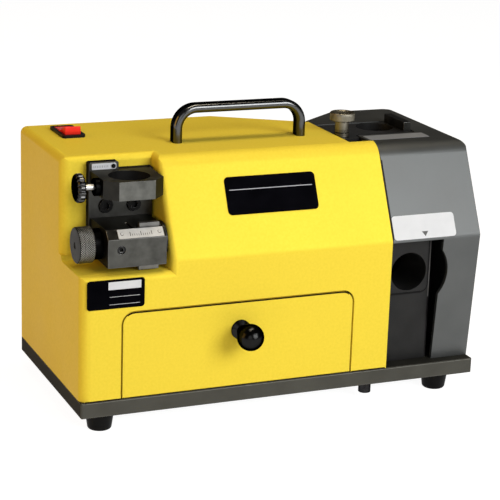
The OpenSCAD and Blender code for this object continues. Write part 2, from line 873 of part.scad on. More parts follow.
// Long bar with a rounded edge that runs up the hood at the given tilt
module hood_edge(tilt, t) {
    corner = box_points(hood_bevel_x - over - t, t, hood_right - t, hood_reach);
    translate([0, cover_front, crease_z]) rotate([-tilt, 0, 0]) along_z(-hood_reach, hood_reach)
        polygon(rounded(corner, [0, max(fold_r - t, 0), 0, 0]));
}

// The hood's outer form at t = 0, its hollow at the wall's thickness
module hood_form(t) {
    open = t > 0 ? -over : 0;
    side = inset(hood_side, [open, t, t, t, t]);
    plan = inset(hood_plan, [0, t, t, t, open, open, open]);
    intersection() {
        along_x(hood_bevel_x - over, hood_right + over)
            polygon(rounded(side, inner_radii(hood_side_radii, t)));
        along_z(deck_z - over, hood_top + over)
            polygon(rounded(plan, inner_radii(hood_plan_radii, t)));
        along_y(-over, base_depth + over)
            polygon(rounded(
                box_points(hood_bevel_x - over, deck_z - over, hood_right - t, hood_top - t),
                [0, 0, hood_edge_r - t, 0]
            ));
        hood_edge(atan(slant), t);
        hood_edge(-atan(hood_lean / crease_height), t);
    }
}

module hood() {
    color("#54565a") placed()
        difference() {
            hood_form(0);
            hood_form(hood_wall);
            along_y(-over, front_seat_y + hood_wall) {
                polygon(box_points(
                    hood_left - over, deck_z - over, front_bore_x + mouth_reach, deck_z + mouth_height
                ));
                intersection() {
                    translate([front_bore_x, spindle_z])
                        circle(mouth_bulge_r);
                    square([base_length, deck_z + mouth_height]);
                }
            }
            along_z(hood_top - 2 * hood_wall, hood_top + over)
                polygon(rounded(
                    box_points(hood_left - over, opening_front, opening_right, opening_back),
                    [0, over, over, 0]
                ));
        }
}

// Upright plate that carries the spindle, the motor's nose and the top seat
module bulkhead() {
    plate = inset(
        cover_side,
        [
            0,
            base_depth - bulkhead_back,
            cover_top - seat_under,
            cover_wall + bulkhead_clear,
            cover_wall + bulkhead_clear
        ]
    );
    color("#3a3b3d") placed()
        difference() {
            along_x(bulkhead_x, bulkhead_end)
                polygon(plate);
            rod_x(bulkhead_x - 1, bulkhead_end + 1, spindle_r + 2, spindle_y, spindle_z);
            rod_x(bulkhead_end - bearing_w, bulkhead_end + 1, bearing_r, spindle_y, spindle_z);
            for (y = bulkhead_screw_y)
                rod_z(deck_z - 1, deck_z + base_thickness + 1, bulkhead_hole_r, bulkhead_mid, y);
            rod_z(
                seat_under - plunger_travel - 3, seat_under + 1,
                plunger_pin_d / 2 + running, plunger_x, plunger_y
            );
        }
}

module bulkhead_screws() {
    color("#2a2a2b") placed()
        for (y = bulkhead_screw_y)
            cap_screw(bulkhead_mid, y, foot_height - cap_washer_t, bulkhead_screw_d, 2 * base_thickness);
}

module handle_section() {
    polygon(rounded(
        box_points(-handle_bar_t / 2, -handle_bar_w / 2, handle_bar_t / 2, handle_bar_w / 2),
        all_four(handle_edge_r)
    ));
}

module handle_bend() {
    rotate([90, 0, 0]) rotate_extrude(angle = 90) translate([bend_r, 0])
        handle_section();
}

// Bent bar handle, tapped at the ends of its legs
module handle() {
    leg_top = handle_bar_z - bend_r;
    color("#1d1d1e") placed()
        translate([0, handle_y, 0])
            difference() {
                union() {
                    for (x = [handle_left_x, handle_right_x])
                        translate([x, 0, 0]) along_z(cover_top, leg_top)
                            handle_section();
                    translate([handle_right_x - bend_r, 0, leg_top])
                        handle_bend();
                    translate([handle_left_x + bend_r, 0, leg_top]) mirror([1, 0, 0])
                        handle_bend();
                    translate([handle_left_x + bend_r, 0, handle_bar_z]) rotate([0, 90, 0])
                        linear_extrude(handle_span - 2 * bend_r)
                            handle_section();
                }
                for (x = [handle_left_x, handle_right_x])
                    rod_z(cover_top - 1, leg_top, handle_screw_d / 2 + running, x, 0);
            }
}

module handle_screws() {
    leg_top = handle_bar_z - bend_r;
    head_top = cover_top - cover_wall;
    color("Silver") placed()
        for (x = [handle_left_x, handle_right_x]) {
            rod_z(head_top - handle_screw_d, head_top, handle_screw_d, x, handle_y);
            rod_z(head_top, leg_top - 2, handle_screw_d / 2, x, handle_y);
        }
}

module switch_body() {
    color("#161617") placed()
        translate([switch_x, switch_y, 0])
            difference() {
                union() {
                    along_z(cover_top, cover_top + bezel_h)
                        polygon(rounded(
                            box_points(-bezel_w / 2, -bezel_l / 2, bezel_w / 2, bezel_l / 2),
                            all_four(bezel_frame)
                        ));
                    box(
                        -switch_body_w / 2, -switch_body_l / 2, cover_top - switch_depth,
                        switch_body_w / 2, switch_body_l / 2, cover_top
                    );
                }
                box(
                    -switch_well_w / 2, -switch_well_l / 2, rocker_z - rocker_half - 1,
                    switch_well_w / 2, switch_well_l / 2, cover_top + bezel_h + over
                );
                rod_x(-switch_well_w / 2 - 1, switch_well_w / 2 + 1, 1 + running, 0, rocker_z);
            }
}

// Rocker with a dished top and a round belly, resting with its front end up
module switch_rocker() {
    belly = [for (a = [0:15:180]) [rocker_half * cos(a), -rocker_half * 0.55 * sin(a)]];
    top = [[-rocker_half, rocker_end_h], [0, rocker_end_h / 3], [rocker_half, rocker_end_h]];
    pivot_half = switch_well_w / 2 + 0.6;
    color("#d8261c") placed()
        translate([switch_x, switch_y, rocker_z]) rotate([-rocker_tilt, 0, 0]) {
            along_x(-switch_well_w / 2 + slip, switch_well_w / 2 - slip)
                polygon(concat(belly, top));
            rod_x(-pivot_half, pivot_half, 1, 0, 0);
        }
}

// Flanged appliance inlet with three contact blades in its well
module power_inlet() {
    flange_half = inlet_w / 2 + inlet_ear;
    well_wall = 2;
    blade = [1, 2];
    color("#18181a") placed()
        translate([inlet_x, base_depth, inlet_z]) {
            difference() {
                union() {
                    along_y(0, inlet_flange_t)
                        polygon(rounded(
                            [
                                [-inlet_w / 2, -inlet_h / 2 - 1],
                                [inlet_w / 2, -inlet_h / 2 - 1],
                                [flange_half, 0],
                                [inlet_w / 2, inlet_h / 2 + 1],
                                [-inlet_w / 2, inlet_h / 2 + 1],
                                [-flange_half, 0]
                            ],
                            [3, 3, 4, 3, 3, 4]
                        ));
                    box(-inlet_w / 2, -inlet_depth, -inlet_h / 2, inlet_w / 2, 0, inlet_h / 2);
                }
                along_y(-inlet_depth + well_wall, inlet_flange_t + 1)
                    polygon(rounded(
                        box_points(
                            -inlet_w / 2 + well_wall, -inlet_h / 2 + well_wall,
                            inlet_w / 2 - well_wall, inlet_h / 2 - well_wall
                        ),
                        [4, 4, 1, 1]
                    ));
            }
            for (i = [-1:1])
                translate([i * blade_pitch, 0, i == 0 ? 3 : -2])
                    box(-blade[0], -inlet_depth + well_wall, -blade[1], blade[0], -3, blade[1]);
        }
}

// Outline of the tray with its rear corners rounded, moved inwards by t
function tray_outline(t) =
    rounded(
        box_points(tray_left + t, cover_front + cover_wall + t, tray_right - t, drawer_back - t),
        [tray_r - tray_wall, tray_r - tray_wall, tray_r - t, tray_r - t]
    );

module drawer_tray() {
    color("#303134") placed()
        difference() {
            along_z(drawer_floor, tray_top)
                polygon(tray_outline(0));
            along_z(drawer_floor + tray_wall, tray_top + over)
                polygon(tray_outline(tray_wall));
        }
}

module drawer_front() {
    color("Gold") placed()
        along_y(cover_front, cover_front + cover_wall)
            drawer_outline(0);
}

// Ball knob on a flanged neck, turned about the pull's axis
module drawer_knob() {
    flange_r = 7.5;
    neck_r = 4.6;
    flange_t = 1.8;
    turn = 180 - asin(neck_r / ball_r);
    outline = concat(
        [[0, 0], [flange_r, 0], [flange_r, flange_t], [neck_r, flange_t + 2]],
        [for (i = [12:-1:0]) [0, ball_reach] + ball_r * [sin(turn * i / 12), cos(turn * i / 12)]]
    );
    color("#111112") placed()
        translate([ball_x, cover_front, deck_z + ball_height]) rotate([90, 0, 0]) rotate_extrude()
            polygon(outline);
}

// Angle runner beside the tray, with a foot on the base plate
module runner(x0, x1, foot_x0, foot_x1) {
    runner_front = cover_front + cover_wall + 1;
    color("Silver") placed() {
        box(x0, runner_front, deck_z, x1, drawer_back, deck_z + runner_height);
        box(foot_x0, runner_front, deck_z, foot_x1, drawer_back, deck_z + runner_t);
    }
}

module runner_left() {
    runner(
        tray_left - slip - runner_t, tray_left - slip,
        tray_left - slip - runner_height, tray_left - slip - runner_t
    );
}

module runner_right() {
    runner(
        tray_right + slip, tray_right + slip + runner_t,
        tray_right + slip + runner_t, bulkhead_x - 1
    );
}

// Outline of the raised face, grown to the right and downwards
function seat_face(grow) = rounded(
    box_points(
        front_bore_x - seat_face_half, spindle_z - seat_face_half - grow,
        front_bore_x + seat_face_half + grow, crease_z
    ),
    [0, seat_face_r + grow, 0, 0]
);

// Upright casting with a raised face and a long boss, bored for the collet chuck
module front_seat() {
    wall_back = front_seat_y + front_seat_t;
    color("#2b2c2e") placed()
        difference() {
            union() {
                along_z(deck_z, front_seat_top)
                    polygon(rounded(
                        box_points(
                            front_bore_x - front_seat_left, front_seat_y,
                            front_bore_x + front_seat_right, wall_back
                        ),
                        [0, front_seat_r, front_seat_r, 0]
                    ));
                along_y(front_seat_y - seat_face_t, front_seat_y) polygon(seat_face(0));
                rod_y(wall_back, front_boss_y, bore_r + seat_wall, front_bore_x, spindle_z);
            }
            rod_y(front_seat_y - seat_face_t - 1, front_boss_y + 1, bore_r, front_bore_x, spindle_z);
            along_y(front_seat_y, front_seat_y + seat_groove)
                difference() {
                    polygon(seat_face(seat_groove));
                    polygon(seat_face(0));
                }
        }
}

// Bored plate over the wheel, with a boss, a plunger nose and a ledge to the post
module top_seat() {
    ledge_top = hood_top - hood_wall - slip;
    plan = [
        [seat_left, seat_nose_front],
        [seat_nose_right, seat_nose_front],
        [seat_nose_right, seat_front],
        [seat_right, seat_front],
        [seat_right, seat_back],
        [seat_left, seat_back]
    ];
    color("#232425") placed()
        difference() {
            union() {
                along_z(seat_under, seat_top)
                    polygon(rounded(plan, [2, 4, -4, 2, 2, 2]));
                box(seat_right - over, post_front, seat_under, post_right, seat_back, ledge_top);
                rod_z(top_boss_z, seat_under, bore_r + seat_wall, top_bore_x, spindle_y);
            }
            rod_z(top_boss_z - 1, seat_top + 1, bore_r, top_bore_x, spindle_y);
            rod_z(seat_under - 1, seat_top + 1, plunger_pin_d / 2 + running, plunger_x, plunger_y);
        }
}

// Post under the top seat's right end, its foot turned in under the wheel
module seat_post() {
    foot_l = 22;
    foot_h = 8;
    color("#2b2c2e") placed()
        along_y(post_front, seat_back)
            polygon([
                [post_right - foot_l, deck_z],
                [post_right, deck_z],
                [post_right, seat_under],
                [post_left, seat_under],
                [post_left, deck_z + foot_h],
                [post_right - foot_l, deck_z + foot_h]
            ]);
}

module seat_fence() {
    fence_back = seat_back - 1.5;
    color("#77797b") placed()
        box(
            seat_right - fence_width, fence_back - fence_length, seat_top,
            seat_right, fence_back, seat_top + fence_height
        );
}

module plunger_sleeve() {
    color("Silver") placed()
        difference() {
            rod_z(seat_top, seat_top + sleeve_h, sleeve_r, plunger_x, plunger_y);
            rod_z(seat_top - 1, seat_top + sleeve_h + 1, plunger_pin_d / 2 + running, plunger_x, plunger_y);
        }
}

// Pull knob with a dished, straight-fluted head, a neck and a locking pin
module plunger_knob() {
    head_r = plunger_head_d / 2;
    head_z = seat_top + plunger_neck_h;
    dish_r = head_r - 2.5;
    flutes = 48;
    flute_r = 0.4;
    color("Silver") placed()
        translate([plunger_x, plunger_y, 0])
            difference() {
                union() {
                    along_z(head_z, head_z + plunger_head_h)
                        difference() {
                            circle(head_r);
                            for (i = [0:flutes - 1])
                                rotate(i * 360 / flutes) translate([head_r, 0])
                                    circle(flute_r, $fn = 6);
                        }
                    rod_z(seat_top + sleeve_h + slip, head_z, plunger_neck_d / 2, 0, 0);
                    rod_z(seat_under - plunger_travel, seat_top + sleeve_h + slip, plunger_pin_d / 2, 0, 0);
                }
                rod_z(head_z + plunger_head_h - 0.8, head_z + plunger_head_h + 1, dish_r, 0, 0);
            }
}

module motor_can() {
    color("#8c8f92") placed()
        difference() {
            rod_x(motor_can_x, motor_nose_x, motor_r, spindle_y, spindle_z);
            rod_x(motor_can_x - 1, motor_nose_x + 1, stator_r, spindle_y, spindle_z);
        }
}

module motor_stator() {
    color("#7a4a2a") placed()
        difference() {
            rod_x(
                motor_can_x + winding_inset, motor_nose_x - winding_inset,
                stator_r, spindle_y, spindle_z
            );
            rod_x(motor_can_x, motor_nose_x, rotor_r + air_gap, spindle_y, spindle_z);
        }
}

// Rear bell with a spigot in the can and a pocket for its bearing
module motor_rear_bell() {
    spigot = 4;
    color("#8c8f92") placed()
        turned_x(
            [
                [motor_bell_x, spindle_r + 2],
                [motor_bell_x, motor_r - 4],
                [motor_bell_x + 4, motor_r],
                [motor_can_x, motor_r],
                [motor_can_x, stator_r],
                [motor_can_x + spigot, stator_r],
                [motor_can_x + spigot, bearing_r],
                [motor_can_x + spigot - bearing_w, bearing_r],
                [motor_can_x + spigot - bearing_w, spindle_r + 2]
            ],
            spindle_y, spindle_z
        );
}

// Nose that tapers from the can to the bulkhead
module motor_nose() {
    spigot = 4;
    flange = 4;
    hollow_r = spindle_r + 4;
    color("#8c8f92") placed()
        turned_x(
            [
                [motor_nose_x - spigot, hollow_r],
                [motor_nose_x - spigot, stator_r],
                [motor_nose_x, stator_r],
                [motor_nose_x, motor_r],
                [motor_nose_x + flange, motor_r - 2],
                [bulkhead_x - flange, nose_r],
                [bulkhead_x, nose_r],
                [bulkhead_x, hollow_r]
            ],
            spindle_y, spindle_z
        );
}

// Saddle on the base plate that carries the motor's can
module motor_cradle() {
    foot_h = 6;
    foot_half = cradle_half + cradle_foot;
    web_half = cradle_half - 6;
    saddle_z = spindle_z - motor_r * cos(50);
    color("#3a3b3d") placed()
        difference() {
            along_x(cradle_x, cradle_x + cradle_w)
                polygon([
                    [spindle_y - foot_half, deck_z],
                    [spindle_y + foot_half, deck_z],
                    [spindle_y + foot_half, deck_z + foot_h],
                    [spindle_y + web_half, deck_z + foot_h],
                    [spindle_y + cradle_half, saddle_z],
                    [spindle_y - cradle_half, saddle_z],
                    [spindle_y - web_half, deck_z + foot_h],
                    [spindle_y - foot_half, deck_z + foot_h]
                ]);
            rod_x(cradle_x - 1, cradle_x + cradle_w + 1, motor_r, spindle_y, spindle_z);
        }
}

// Sealed ball bearing, its two rings standing proud of the shields between them
module bearing(x) {
    ring_t = (bearing_r - spindle_r) / 5;
    shield = 0.5;
    inner_r = spindle_r + running;
    color("Silver") placed()
        turned_x(
            [
                [x, inner_r],
                [x, inner_r + ring_t],
                [x + shield, inner_r + ring_t],
                [x + shield, bearing_r - ring_t],
                [x, bearing_r - ring_t],
                [x, bearing_r],
                [x + bearing_w, bearing_r],
                [x + bearing_w, bearing_r - ring_t],
                [x + bearing_w - shield, bearing_r - ring_t],
                [x + bearing_w - shield, inner_r + ring_t],
                [x + bearing_w, inner_r + ring_t],
                [x + bearing_w, inner_r]
            ],
            spindle_y, spindle_z
        );
}

module bearing_rear() {
    bearing(motor_can_x + 4 - bearing_w);
}

module bearing_front() {
    bearing(bulkhead_end - bearing_w);
}

wheel_seat_r = spindle_r - 1;
wheel_thread_r = wheel_seat_r - 1;

// Long shaft with a shoulder flange behind the wheel
module spindle() {
    shaft_left = motor_bell_x + 1;
    color("#a7a9ac") placed()
        turned_x(
            [
                [shaft_left, 0],
                [shaft_left, spindle_r],
                [wheel_left - hub_t - 2, spindle_r],
                [wheel_left - hub_t, hub_r],
                [wheel_left, hub_r],
                [wheel_left, wheel_seat_r],
                [wheel_right, wheel_seat_r],
                [wheel_right, wheel_thread_r],
                [wheel_right + nut_t + 1, wheel_thread_r],
                [wheel_right + nut_t + 1, 0]
            ],
            spindle_y, spindle_z
        );
}

module rotor() {
    color("#6d5138") placed()
        difference() {
            rod_x(
                motor_can_x + winding_inset, motor_nose_x - winding_inset,
                rotor_r, spindle_y, spindle_z
            );
            rod_x(motor_can_x, motor_nose_x, spindle_r, spindle_y, spindle_z);
        }
}

// Aluminium body of the wheel, dished on its outer side
module wheel_core() {
    web_r = hub_r + 1;
    rim_r = wheel_r - rim_depth;
    web_w = wheel_w * 0.7;
    color("#9a9c9f") placed()
        turned_x(
            [
                [wheel_left, wheel_seat_r],
                [wheel_left, rim_r],
                [wheel_right, rim_r],
                [wheel_right, rim_r - 2],
                [wheel_left + web_w, web_r],
                [wheel_left + web_w, wheel_seat_r]
            ],
            spindle_y, spindle_z
        );
}

module wheel_rim() {
    color("#5a5c52") placed()
        difference() {
            rod_x(wheel_left, wheel_right, wheel_r, spindle_y, spindle_z);
            rod_x(wheel_left - 1, wheel_right + 1, wheel_r - rim_depth, spindle_y, spindle_z);
        }
}

module wheel_nut() {
    nut_x = wheel_left + wheel_w * 0.7;
    color("Silver") placed()
        difference() {
            translate([nut_x, spindle_y, spindle_z]) rotate([0, 90, 0])
                cylinder(h = wheel_right + nut_t - nut_x, d = nut_d, $fn = 6);
            rod_x(nut_x - 1, wheel_right, wheel_seat_r, spindle_y, spindle_z);
            rod_x(wheel_right - 1, wheel_right + nut_t + 1, wheel_thread_r, spindle_y, spindle_z);
        }
}

gauge_counterbore = 4;
strip_bite = 4;

// Back plate of the gauge with a tab at its upper left
module gauge_plate() {
    outline = [
        [gauge_left, block_z],
        [gauge_right, block_z],
        [gauge_right, ring_top],
        [gauge_left + gauge_tab_w, ring_top],
        [gauge_left + gauge_tab_w, gauge_tab_z],
        [gauge_left, gauge_tab_z]
    ];
    color("#2c2d2f") placed()
        difference() {
            along_y(gauge_face_y, pocket_depth)
                polygon(rounded(outline, [0, 0, 0, 0, 1.5, 1.5]));
            for (x = gauge_screw_x) {
                rod_y(gauge_face_y - 1, pocket_depth + 1, gauge_hole_r, x, gauge_screw_z);
                rod_y(
                    gauge_face_y - 1, gauge_face_y + gauge_counterbore,
                    gauge_screw_head_d / 2 + 0.4, x, gauge_screw_z
                );
            }
            rod_y(
                gauge_face_y - 1, gauge_face_y + strip_bite,
                strip_screw_r + screw_slack, strip_screw_x, strip_screw_z
            );
        }
}

// Socket-head screws through the back plate and the pocket's wall
module gauge_screws() {
    head_front = gauge_face_y - 1.5;
    head_back = gauge_face_y + gauge_counterbore;
    color("#222324") placed()
        for (x = gauge_screw_x)
            difference() {
                union() {
                    rod_y(head_front, head_back, gauge_screw_head_d / 2, x, gauge_screw_z);
                    rod_y(head_back, pocket_depth + cover_wall + 5, gauge_screw_r, x, gauge_screw_z);
                }
                translate([x, head_front - 1, gauge_screw_z]) rotate([-90, 0, 0])
                    cylinder(h = cap_socket_h + 1, d = gauge_screw_head_d * 0.58, $fn = 6);
            }
}

// Ring block with bevelled front corners, bored for the collet chuck
module gauge_ring() {
    plan = [
        [ring_left, ring_front + ring_bevel],
        [ring_left + ring_bevel, ring_front],
        [gauge_x + ring_half - ring_bevel, ring_front],
        [gauge_x + ring_half, ring_front + ring_bevel],
        [gauge_x + ring_half, gauge_face_y],
        [ring_left, gauge_face_y]
    ];
    color("#3a3b3d") placed()
        difference() {
            along_z(ring_z, ring_top)
                polygon(plan);
            rod_z(ring_z - 1, ring_top + 1, bore_r, gauge_x, gauge_y);
            rod_x(ring_left - 1, gauge_x, clamp_screw_r + running, gauge_y, clamp_z);
        }
}

module clamp_collar() {
    color("#141415") placed()
        difference() {
            rod_x(clamp_collar_x, ring_left, clamp_collar_d / 2, gauge_y, clamp_z);
            rod_x(clamp_collar_x - 1, ring_left + 1, clamp_screw_r + running, gauge_y, clamp_z);
        }
}

// Fluted thumb knob on a screw that reaches into the ring's wall
module clamp_knob() {
    flute_r = clamp_d * PI / clamp_flutes / 4;
    screw_end = gauge_x - bore_r - pad_length - slip;
    color("#111112") placed()
        union() {
            translate([clamp_knob_x, gauge_y, clamp_z]) rotate([0, 90, 0]) linear_extrude(clamp_w)
                difference() {
                    circle(d = clamp_d);
                    for (i = [0:clamp_flutes - 1])
                        rotate(i * 360 / clamp_flutes) translate([clamp_d / 2, 0])
                            circle(flute_r, $fn = 16);
                }
            rod_x(clamp_knob_x + clamp_w, screw_end, clamp_screw_r, gauge_y, clamp_z);
        }
}

// Brass pad that the clamp's screw pushes into the bore
module clamp_pad() {
    pad_end = gauge_x - bore_r - slip;
    color("Goldenrod") placed()
        rod_x(pad_end - pad_length + slip, pad_end, clamp_screw_r, gauge_y, clamp_z);
}

// Lower block with a bevelled front edge and a slot for the stop plate
module gauge_block() {
    side = [
        [block_front, block_z],
        [gauge_face_y, block_z],
        [gauge_face_y, block_top],
        [block_front + block_bevel, block_top],
        [block_front, block_top - block_bevel]
    ];
    slot_half = stop_w / 2 + stop_travel + slip;
    room_half = nut_half_w + stop_travel + slip;
    groove_w = 1.8;
    groove_x = stop_x - slot_half - 2;
    groove_depth = 2.5;
    color("#3a3b3d") placed()
        difference() {
            along_x(block_left, block_right)
                polygon(side);
            box(
                stop_x - slot_half, stop_y - slip, block_z - 1,
                stop_x + slot_half, stop_y + stop_t + slip, block_top + 1
            );
            box(
                stop_x - room_half, stop_y, dial_z - nut_half_h - slip,
                stop_x + room_half, gauge_y + nut_half_h + slip, dial_z + nut_half_h + slip
            );
            box(
                groove_x - groove_w, stop_y + slip, block_top - groove_depth,
                groove_x, gauge_y + groove_w, block_top + 1
            );
            rod_x(block_left - 1, block_right + 1, dial_screw_r + running, gauge_y, dial_z);
            rod_y(block_front - 1, block_front + lock_length, lock_r + screw_slack, lock_x, dial_z);
        }
}

lock_x = block_left + lock_inset;
lock_r = 3;
lock_length = 7;

// Steel plate riveted to the lower block's bevel
module scale_plate() {
    plate_t = 0.6;
    rivet_inset = 3;
    rivet_r = 1.6;
    plate_left = lock_x - 2;
    plate_right = block_right - 2;
    plate_h = block_bevel * sqrt(2) - 1;
    color("LightGray") placed()
        translate([plate_left, block_front, block_top - block_bevel]) rotate([45, 0, 0])
            translate([0, 0.5, 0]) {
                cube([plate_right - plate_left, plate_h, plate_t]);
                for (x = [rivet_inset, plate_right - plate_left - rivet_inset])
                    translate([x, plate_h / 2, plate_t / 2])
                        cylinder(h = plate_t, r1 = rivet_r, r2 = rivet_r * 0.7);
            }
}

strip_left = gauge_left + 2;
strip_right = gauge_left + gauge_tab_w - 2;
strip_top = gauge_tab_z - 0.8;
strip_screw_x = strip_right - strip_h / 2;
strip_screw_z = strip_top - strip_h / 2;
strip_screw_r = 0.8;

// Pale index strip on the tab, held by a screw at its right end
module index_strip() {
    color("WhiteSmoke") placed()
        difference() {
            along_y(gauge_face_y - strip_t, gauge_face_y)
                polygon(rounded(
                    box_points(strip_left, strip_top - strip_h, strip_right, strip_top),
                    [0.5, 1.5, 1.5, 0.5]
                ));
            rod_y(
                gauge_face_y - strip_t - 1, gauge_face_y + 1,
                strip_screw_r + screw_slack, strip_screw_x, strip_screw_z
            );
        }
}

module index_screw() {
    head_r = strip_screw_r * 2;
    head_h = strip_screw_r;
    head_back = gauge_face_y - strip_t;
    color("#1a1a1b") placed()
        difference() {
            union() {
                rod_y(head_back - head_h, head_back, head_r, strip_screw_x, strip_screw_z);
                rod_y(head_back, gauge_face_y + strip_bite, strip_screw_r, strip_screw_x, strip_screw_z);
            }
            box(
                strip_screw_x - head_r, head_back - head_h - 1, strip_screw_z - head_h / 4,
                strip_screw_x + head_r, head_back - head_h / 2, strip_screw_z + head_h / 4
            );
        }
}

// Set screw in the lower block's front
module lock_screw() {
    socket_d = 3.4;
    color("#1a1a1b") placed()
        difference() {
            rod_y(block_front + 0.4, block_front + lock_length, lock_r, lock_x, dial_z);
            translate([lock_x, block_front - 1, dial_z]) rotate([-90, 0, 0])
                cylinder(h = lock_length / 2 + 1, d = socket_d, $fn = 6);
        }
}

dial_collar_x = block_left - dial_collar_w;
dial_x = dial_collar_x - slip - dial_w;

module dial_collar() {
    color("#1c1c1d") placed()
        difference() {
            rod_x(dial_collar_x, block_left, dial_d / 2 - 2, gauge_y, dial_z);
            rod_x(dial_collar_x - 1, block_left + 1, dial_screw_r + running, gauge_y, dial_z);
        }
}

// Dial knob with a fluted rim, lead screw and end disc, which turn as one
module dial_knob() {
    bevel = 0.6;
    dial_r = dial_d / 2;
    flute_r = dial_r * PI / dial_flutes / 2;
    disc_x = block_right + slip;
    disc_end = pocket_width - slip;
    color("#4a4b4c") placed()
        difference() {
            turned_x(
                [
                    [dial_x, 0],
                    [dial_x, dial_r - bevel],
                    [dial_x + bevel, dial_r],
                    [dial_x + dial_w - bevel, dial_r],
                    [dial_x + dial_w, dial_r - bevel],
                    [dial_x + dial_w, dial_screw_r],
                    [disc_x, dial_screw_r],
                    [disc_x, dial_r - bevel],
                    [disc_x + bevel, dial_r],
                    [disc_end, dial_r],
                    [disc_end, 0]
                ],
                gauge_y, dial_z
            );
            translate([0, gauge_y, dial_z]) along_x(dial_x - 1, dial_x + dial_w + slip / 2)
                for (i = [0:dial_flutes - 1])
                    rotate(i * 360 / dial_flutes) translate([dial_r, 0])
                        circle(flute_r, $fn = 4);
        }
}

// Sliding stop plate with the nut that runs on the dial's screw
module stop_plate() {
    color("#8d8f91") placed()
        difference() {
            union() {
                box(
                    stop_x - stop_w / 2, stop_y, block_z - stop_reach,
                    stop_x + stop_w / 2, stop_y + stop_t, block_top + stop_reach
                );
                box(
                    stop_x - nut_half_w, stop_y + stop_t, dial_z - nut_half_h,
                    stop_x + nut_half_w, gauge_y + nut_half_h, dial_z + nut_half_h
                );
            }
            rod_x(stop_x - nut_half_w - 1, stop_x + nut_half_w + 1, dial_screw_r + running, gauge_y, dial_z);
        }
}

base_plate();
foot_front_left();
foot_front_right();
foot_rear_left();
foot_rear_right();
foot_screws();
bulkhead();
bulkhead_screws();
cover();
hood();
handle();
handle_screws();
switch_body();
switch_rocker();
power_inlet();
drawer_tray();
drawer_front();
drawer_knob();
runner_left();
runner_right();
front_seat();
top_seat();
seat_post();
seat_fence();
plunger_sleeve();
plunger_knob();
motor_can();
motor_stator();
motor_rear_bell();
motor_nose();
motor_cradle();
bearing_rear();
bearing_front();
spindle();
rotor();
wheel_core();
wheel_rim();
wheel_nut();
gauge_plate();
gauge_screws();
gauge_ring();
clamp_collar();
clamp_knob();
clamp_pad();
gauge_block();
scale_plate();
index_strip();
index_screw();
lock_screw();
dial_collar();
dial_knob();
stop_plate();
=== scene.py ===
import json
import math

import bmesh
import bpy
from mathutils import Matrix, Vector

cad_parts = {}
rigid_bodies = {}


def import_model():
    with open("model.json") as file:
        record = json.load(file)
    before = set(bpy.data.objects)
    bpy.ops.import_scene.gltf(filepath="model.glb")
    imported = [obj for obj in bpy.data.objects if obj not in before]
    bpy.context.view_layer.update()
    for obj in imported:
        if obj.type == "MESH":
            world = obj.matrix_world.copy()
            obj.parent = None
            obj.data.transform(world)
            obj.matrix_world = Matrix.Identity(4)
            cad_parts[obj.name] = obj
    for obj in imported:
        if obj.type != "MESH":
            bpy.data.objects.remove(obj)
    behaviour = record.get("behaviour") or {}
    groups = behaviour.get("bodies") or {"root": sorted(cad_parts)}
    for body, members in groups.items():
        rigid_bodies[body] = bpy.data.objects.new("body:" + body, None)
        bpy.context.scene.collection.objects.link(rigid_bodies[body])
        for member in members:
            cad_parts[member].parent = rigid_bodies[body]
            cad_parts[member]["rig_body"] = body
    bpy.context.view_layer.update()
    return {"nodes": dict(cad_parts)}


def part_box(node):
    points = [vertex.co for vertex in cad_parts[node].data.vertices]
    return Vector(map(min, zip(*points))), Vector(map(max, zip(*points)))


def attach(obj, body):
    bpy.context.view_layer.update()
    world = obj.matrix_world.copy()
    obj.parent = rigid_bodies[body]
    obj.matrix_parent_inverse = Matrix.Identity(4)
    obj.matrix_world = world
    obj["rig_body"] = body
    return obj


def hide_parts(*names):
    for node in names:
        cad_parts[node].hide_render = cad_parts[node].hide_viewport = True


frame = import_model()
nodes = frame["nodes"]
mm = 0.001
alongX, alongZ, frontward = Vector((1, 0, 0)), Vector((0, 0, 1)), Vector((0, -1, 0))
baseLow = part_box("base_plate")[0]
cornerOfBase = Vector((baseLow.x, baseLow.y, 0)) / mm
scene = bpy.context.scene
print("frame loaded:", len(nodes), "nodes")


def at(x, y, z):
    # a place on the machine: mm from the base plate's left front corner, and up from the floor
    return (Vector((x, y, z)) + cornerOfBase) * mm


def grey(level):
    return (level, level, level, 1)


# camera, at the height and side of the photograph: metres and degrees, lens and sensor in mm
cameraSpot = {
    "place": (-0.51426, -1.18106, 0.48451),
    "yaw": 23.352,
    "pitch": 16.248,
    "roll": 1.914,
    "lens": 125.29,
    "sensor": 36,
    "clip": (0.05, 40),
}


def setCamera(spot):
    yaw, pitch, roll = (math.radians(spot[key]) for key in ("yaw", "pitch", "roll"))
    ahead = Vector((math.sin(yaw) * math.cos(pitch), math.cos(yaw) * math.cos(pitch), -math.sin(pitch)))
    side = Vector((math.cos(yaw), -math.sin(yaw), 0))
    over = side.cross(ahead)
    right = side * math.cos(roll) + over * math.sin(roll)
    up = over * math.cos(roll) - side * math.sin(roll)
    lensData = bpy.data.cameras.new("benchCamera")
    lensData.lens = spot["lens"]
    lensData.sensor_width = spot["sensor"]
    lensData.clip_start, lensData.clip_end = spot["clip"]
    camera = bpy.data.objects.new("benchCamera", lensData)
    turned = Matrix((right, up, -ahead)).transposed().to_4x4()
    camera.matrix_world = Matrix.Translation(spot["place"]) @ turned
    scene.collection.objects.link(camera)
    scene.camera = camera


setCamera(cameraSpot)

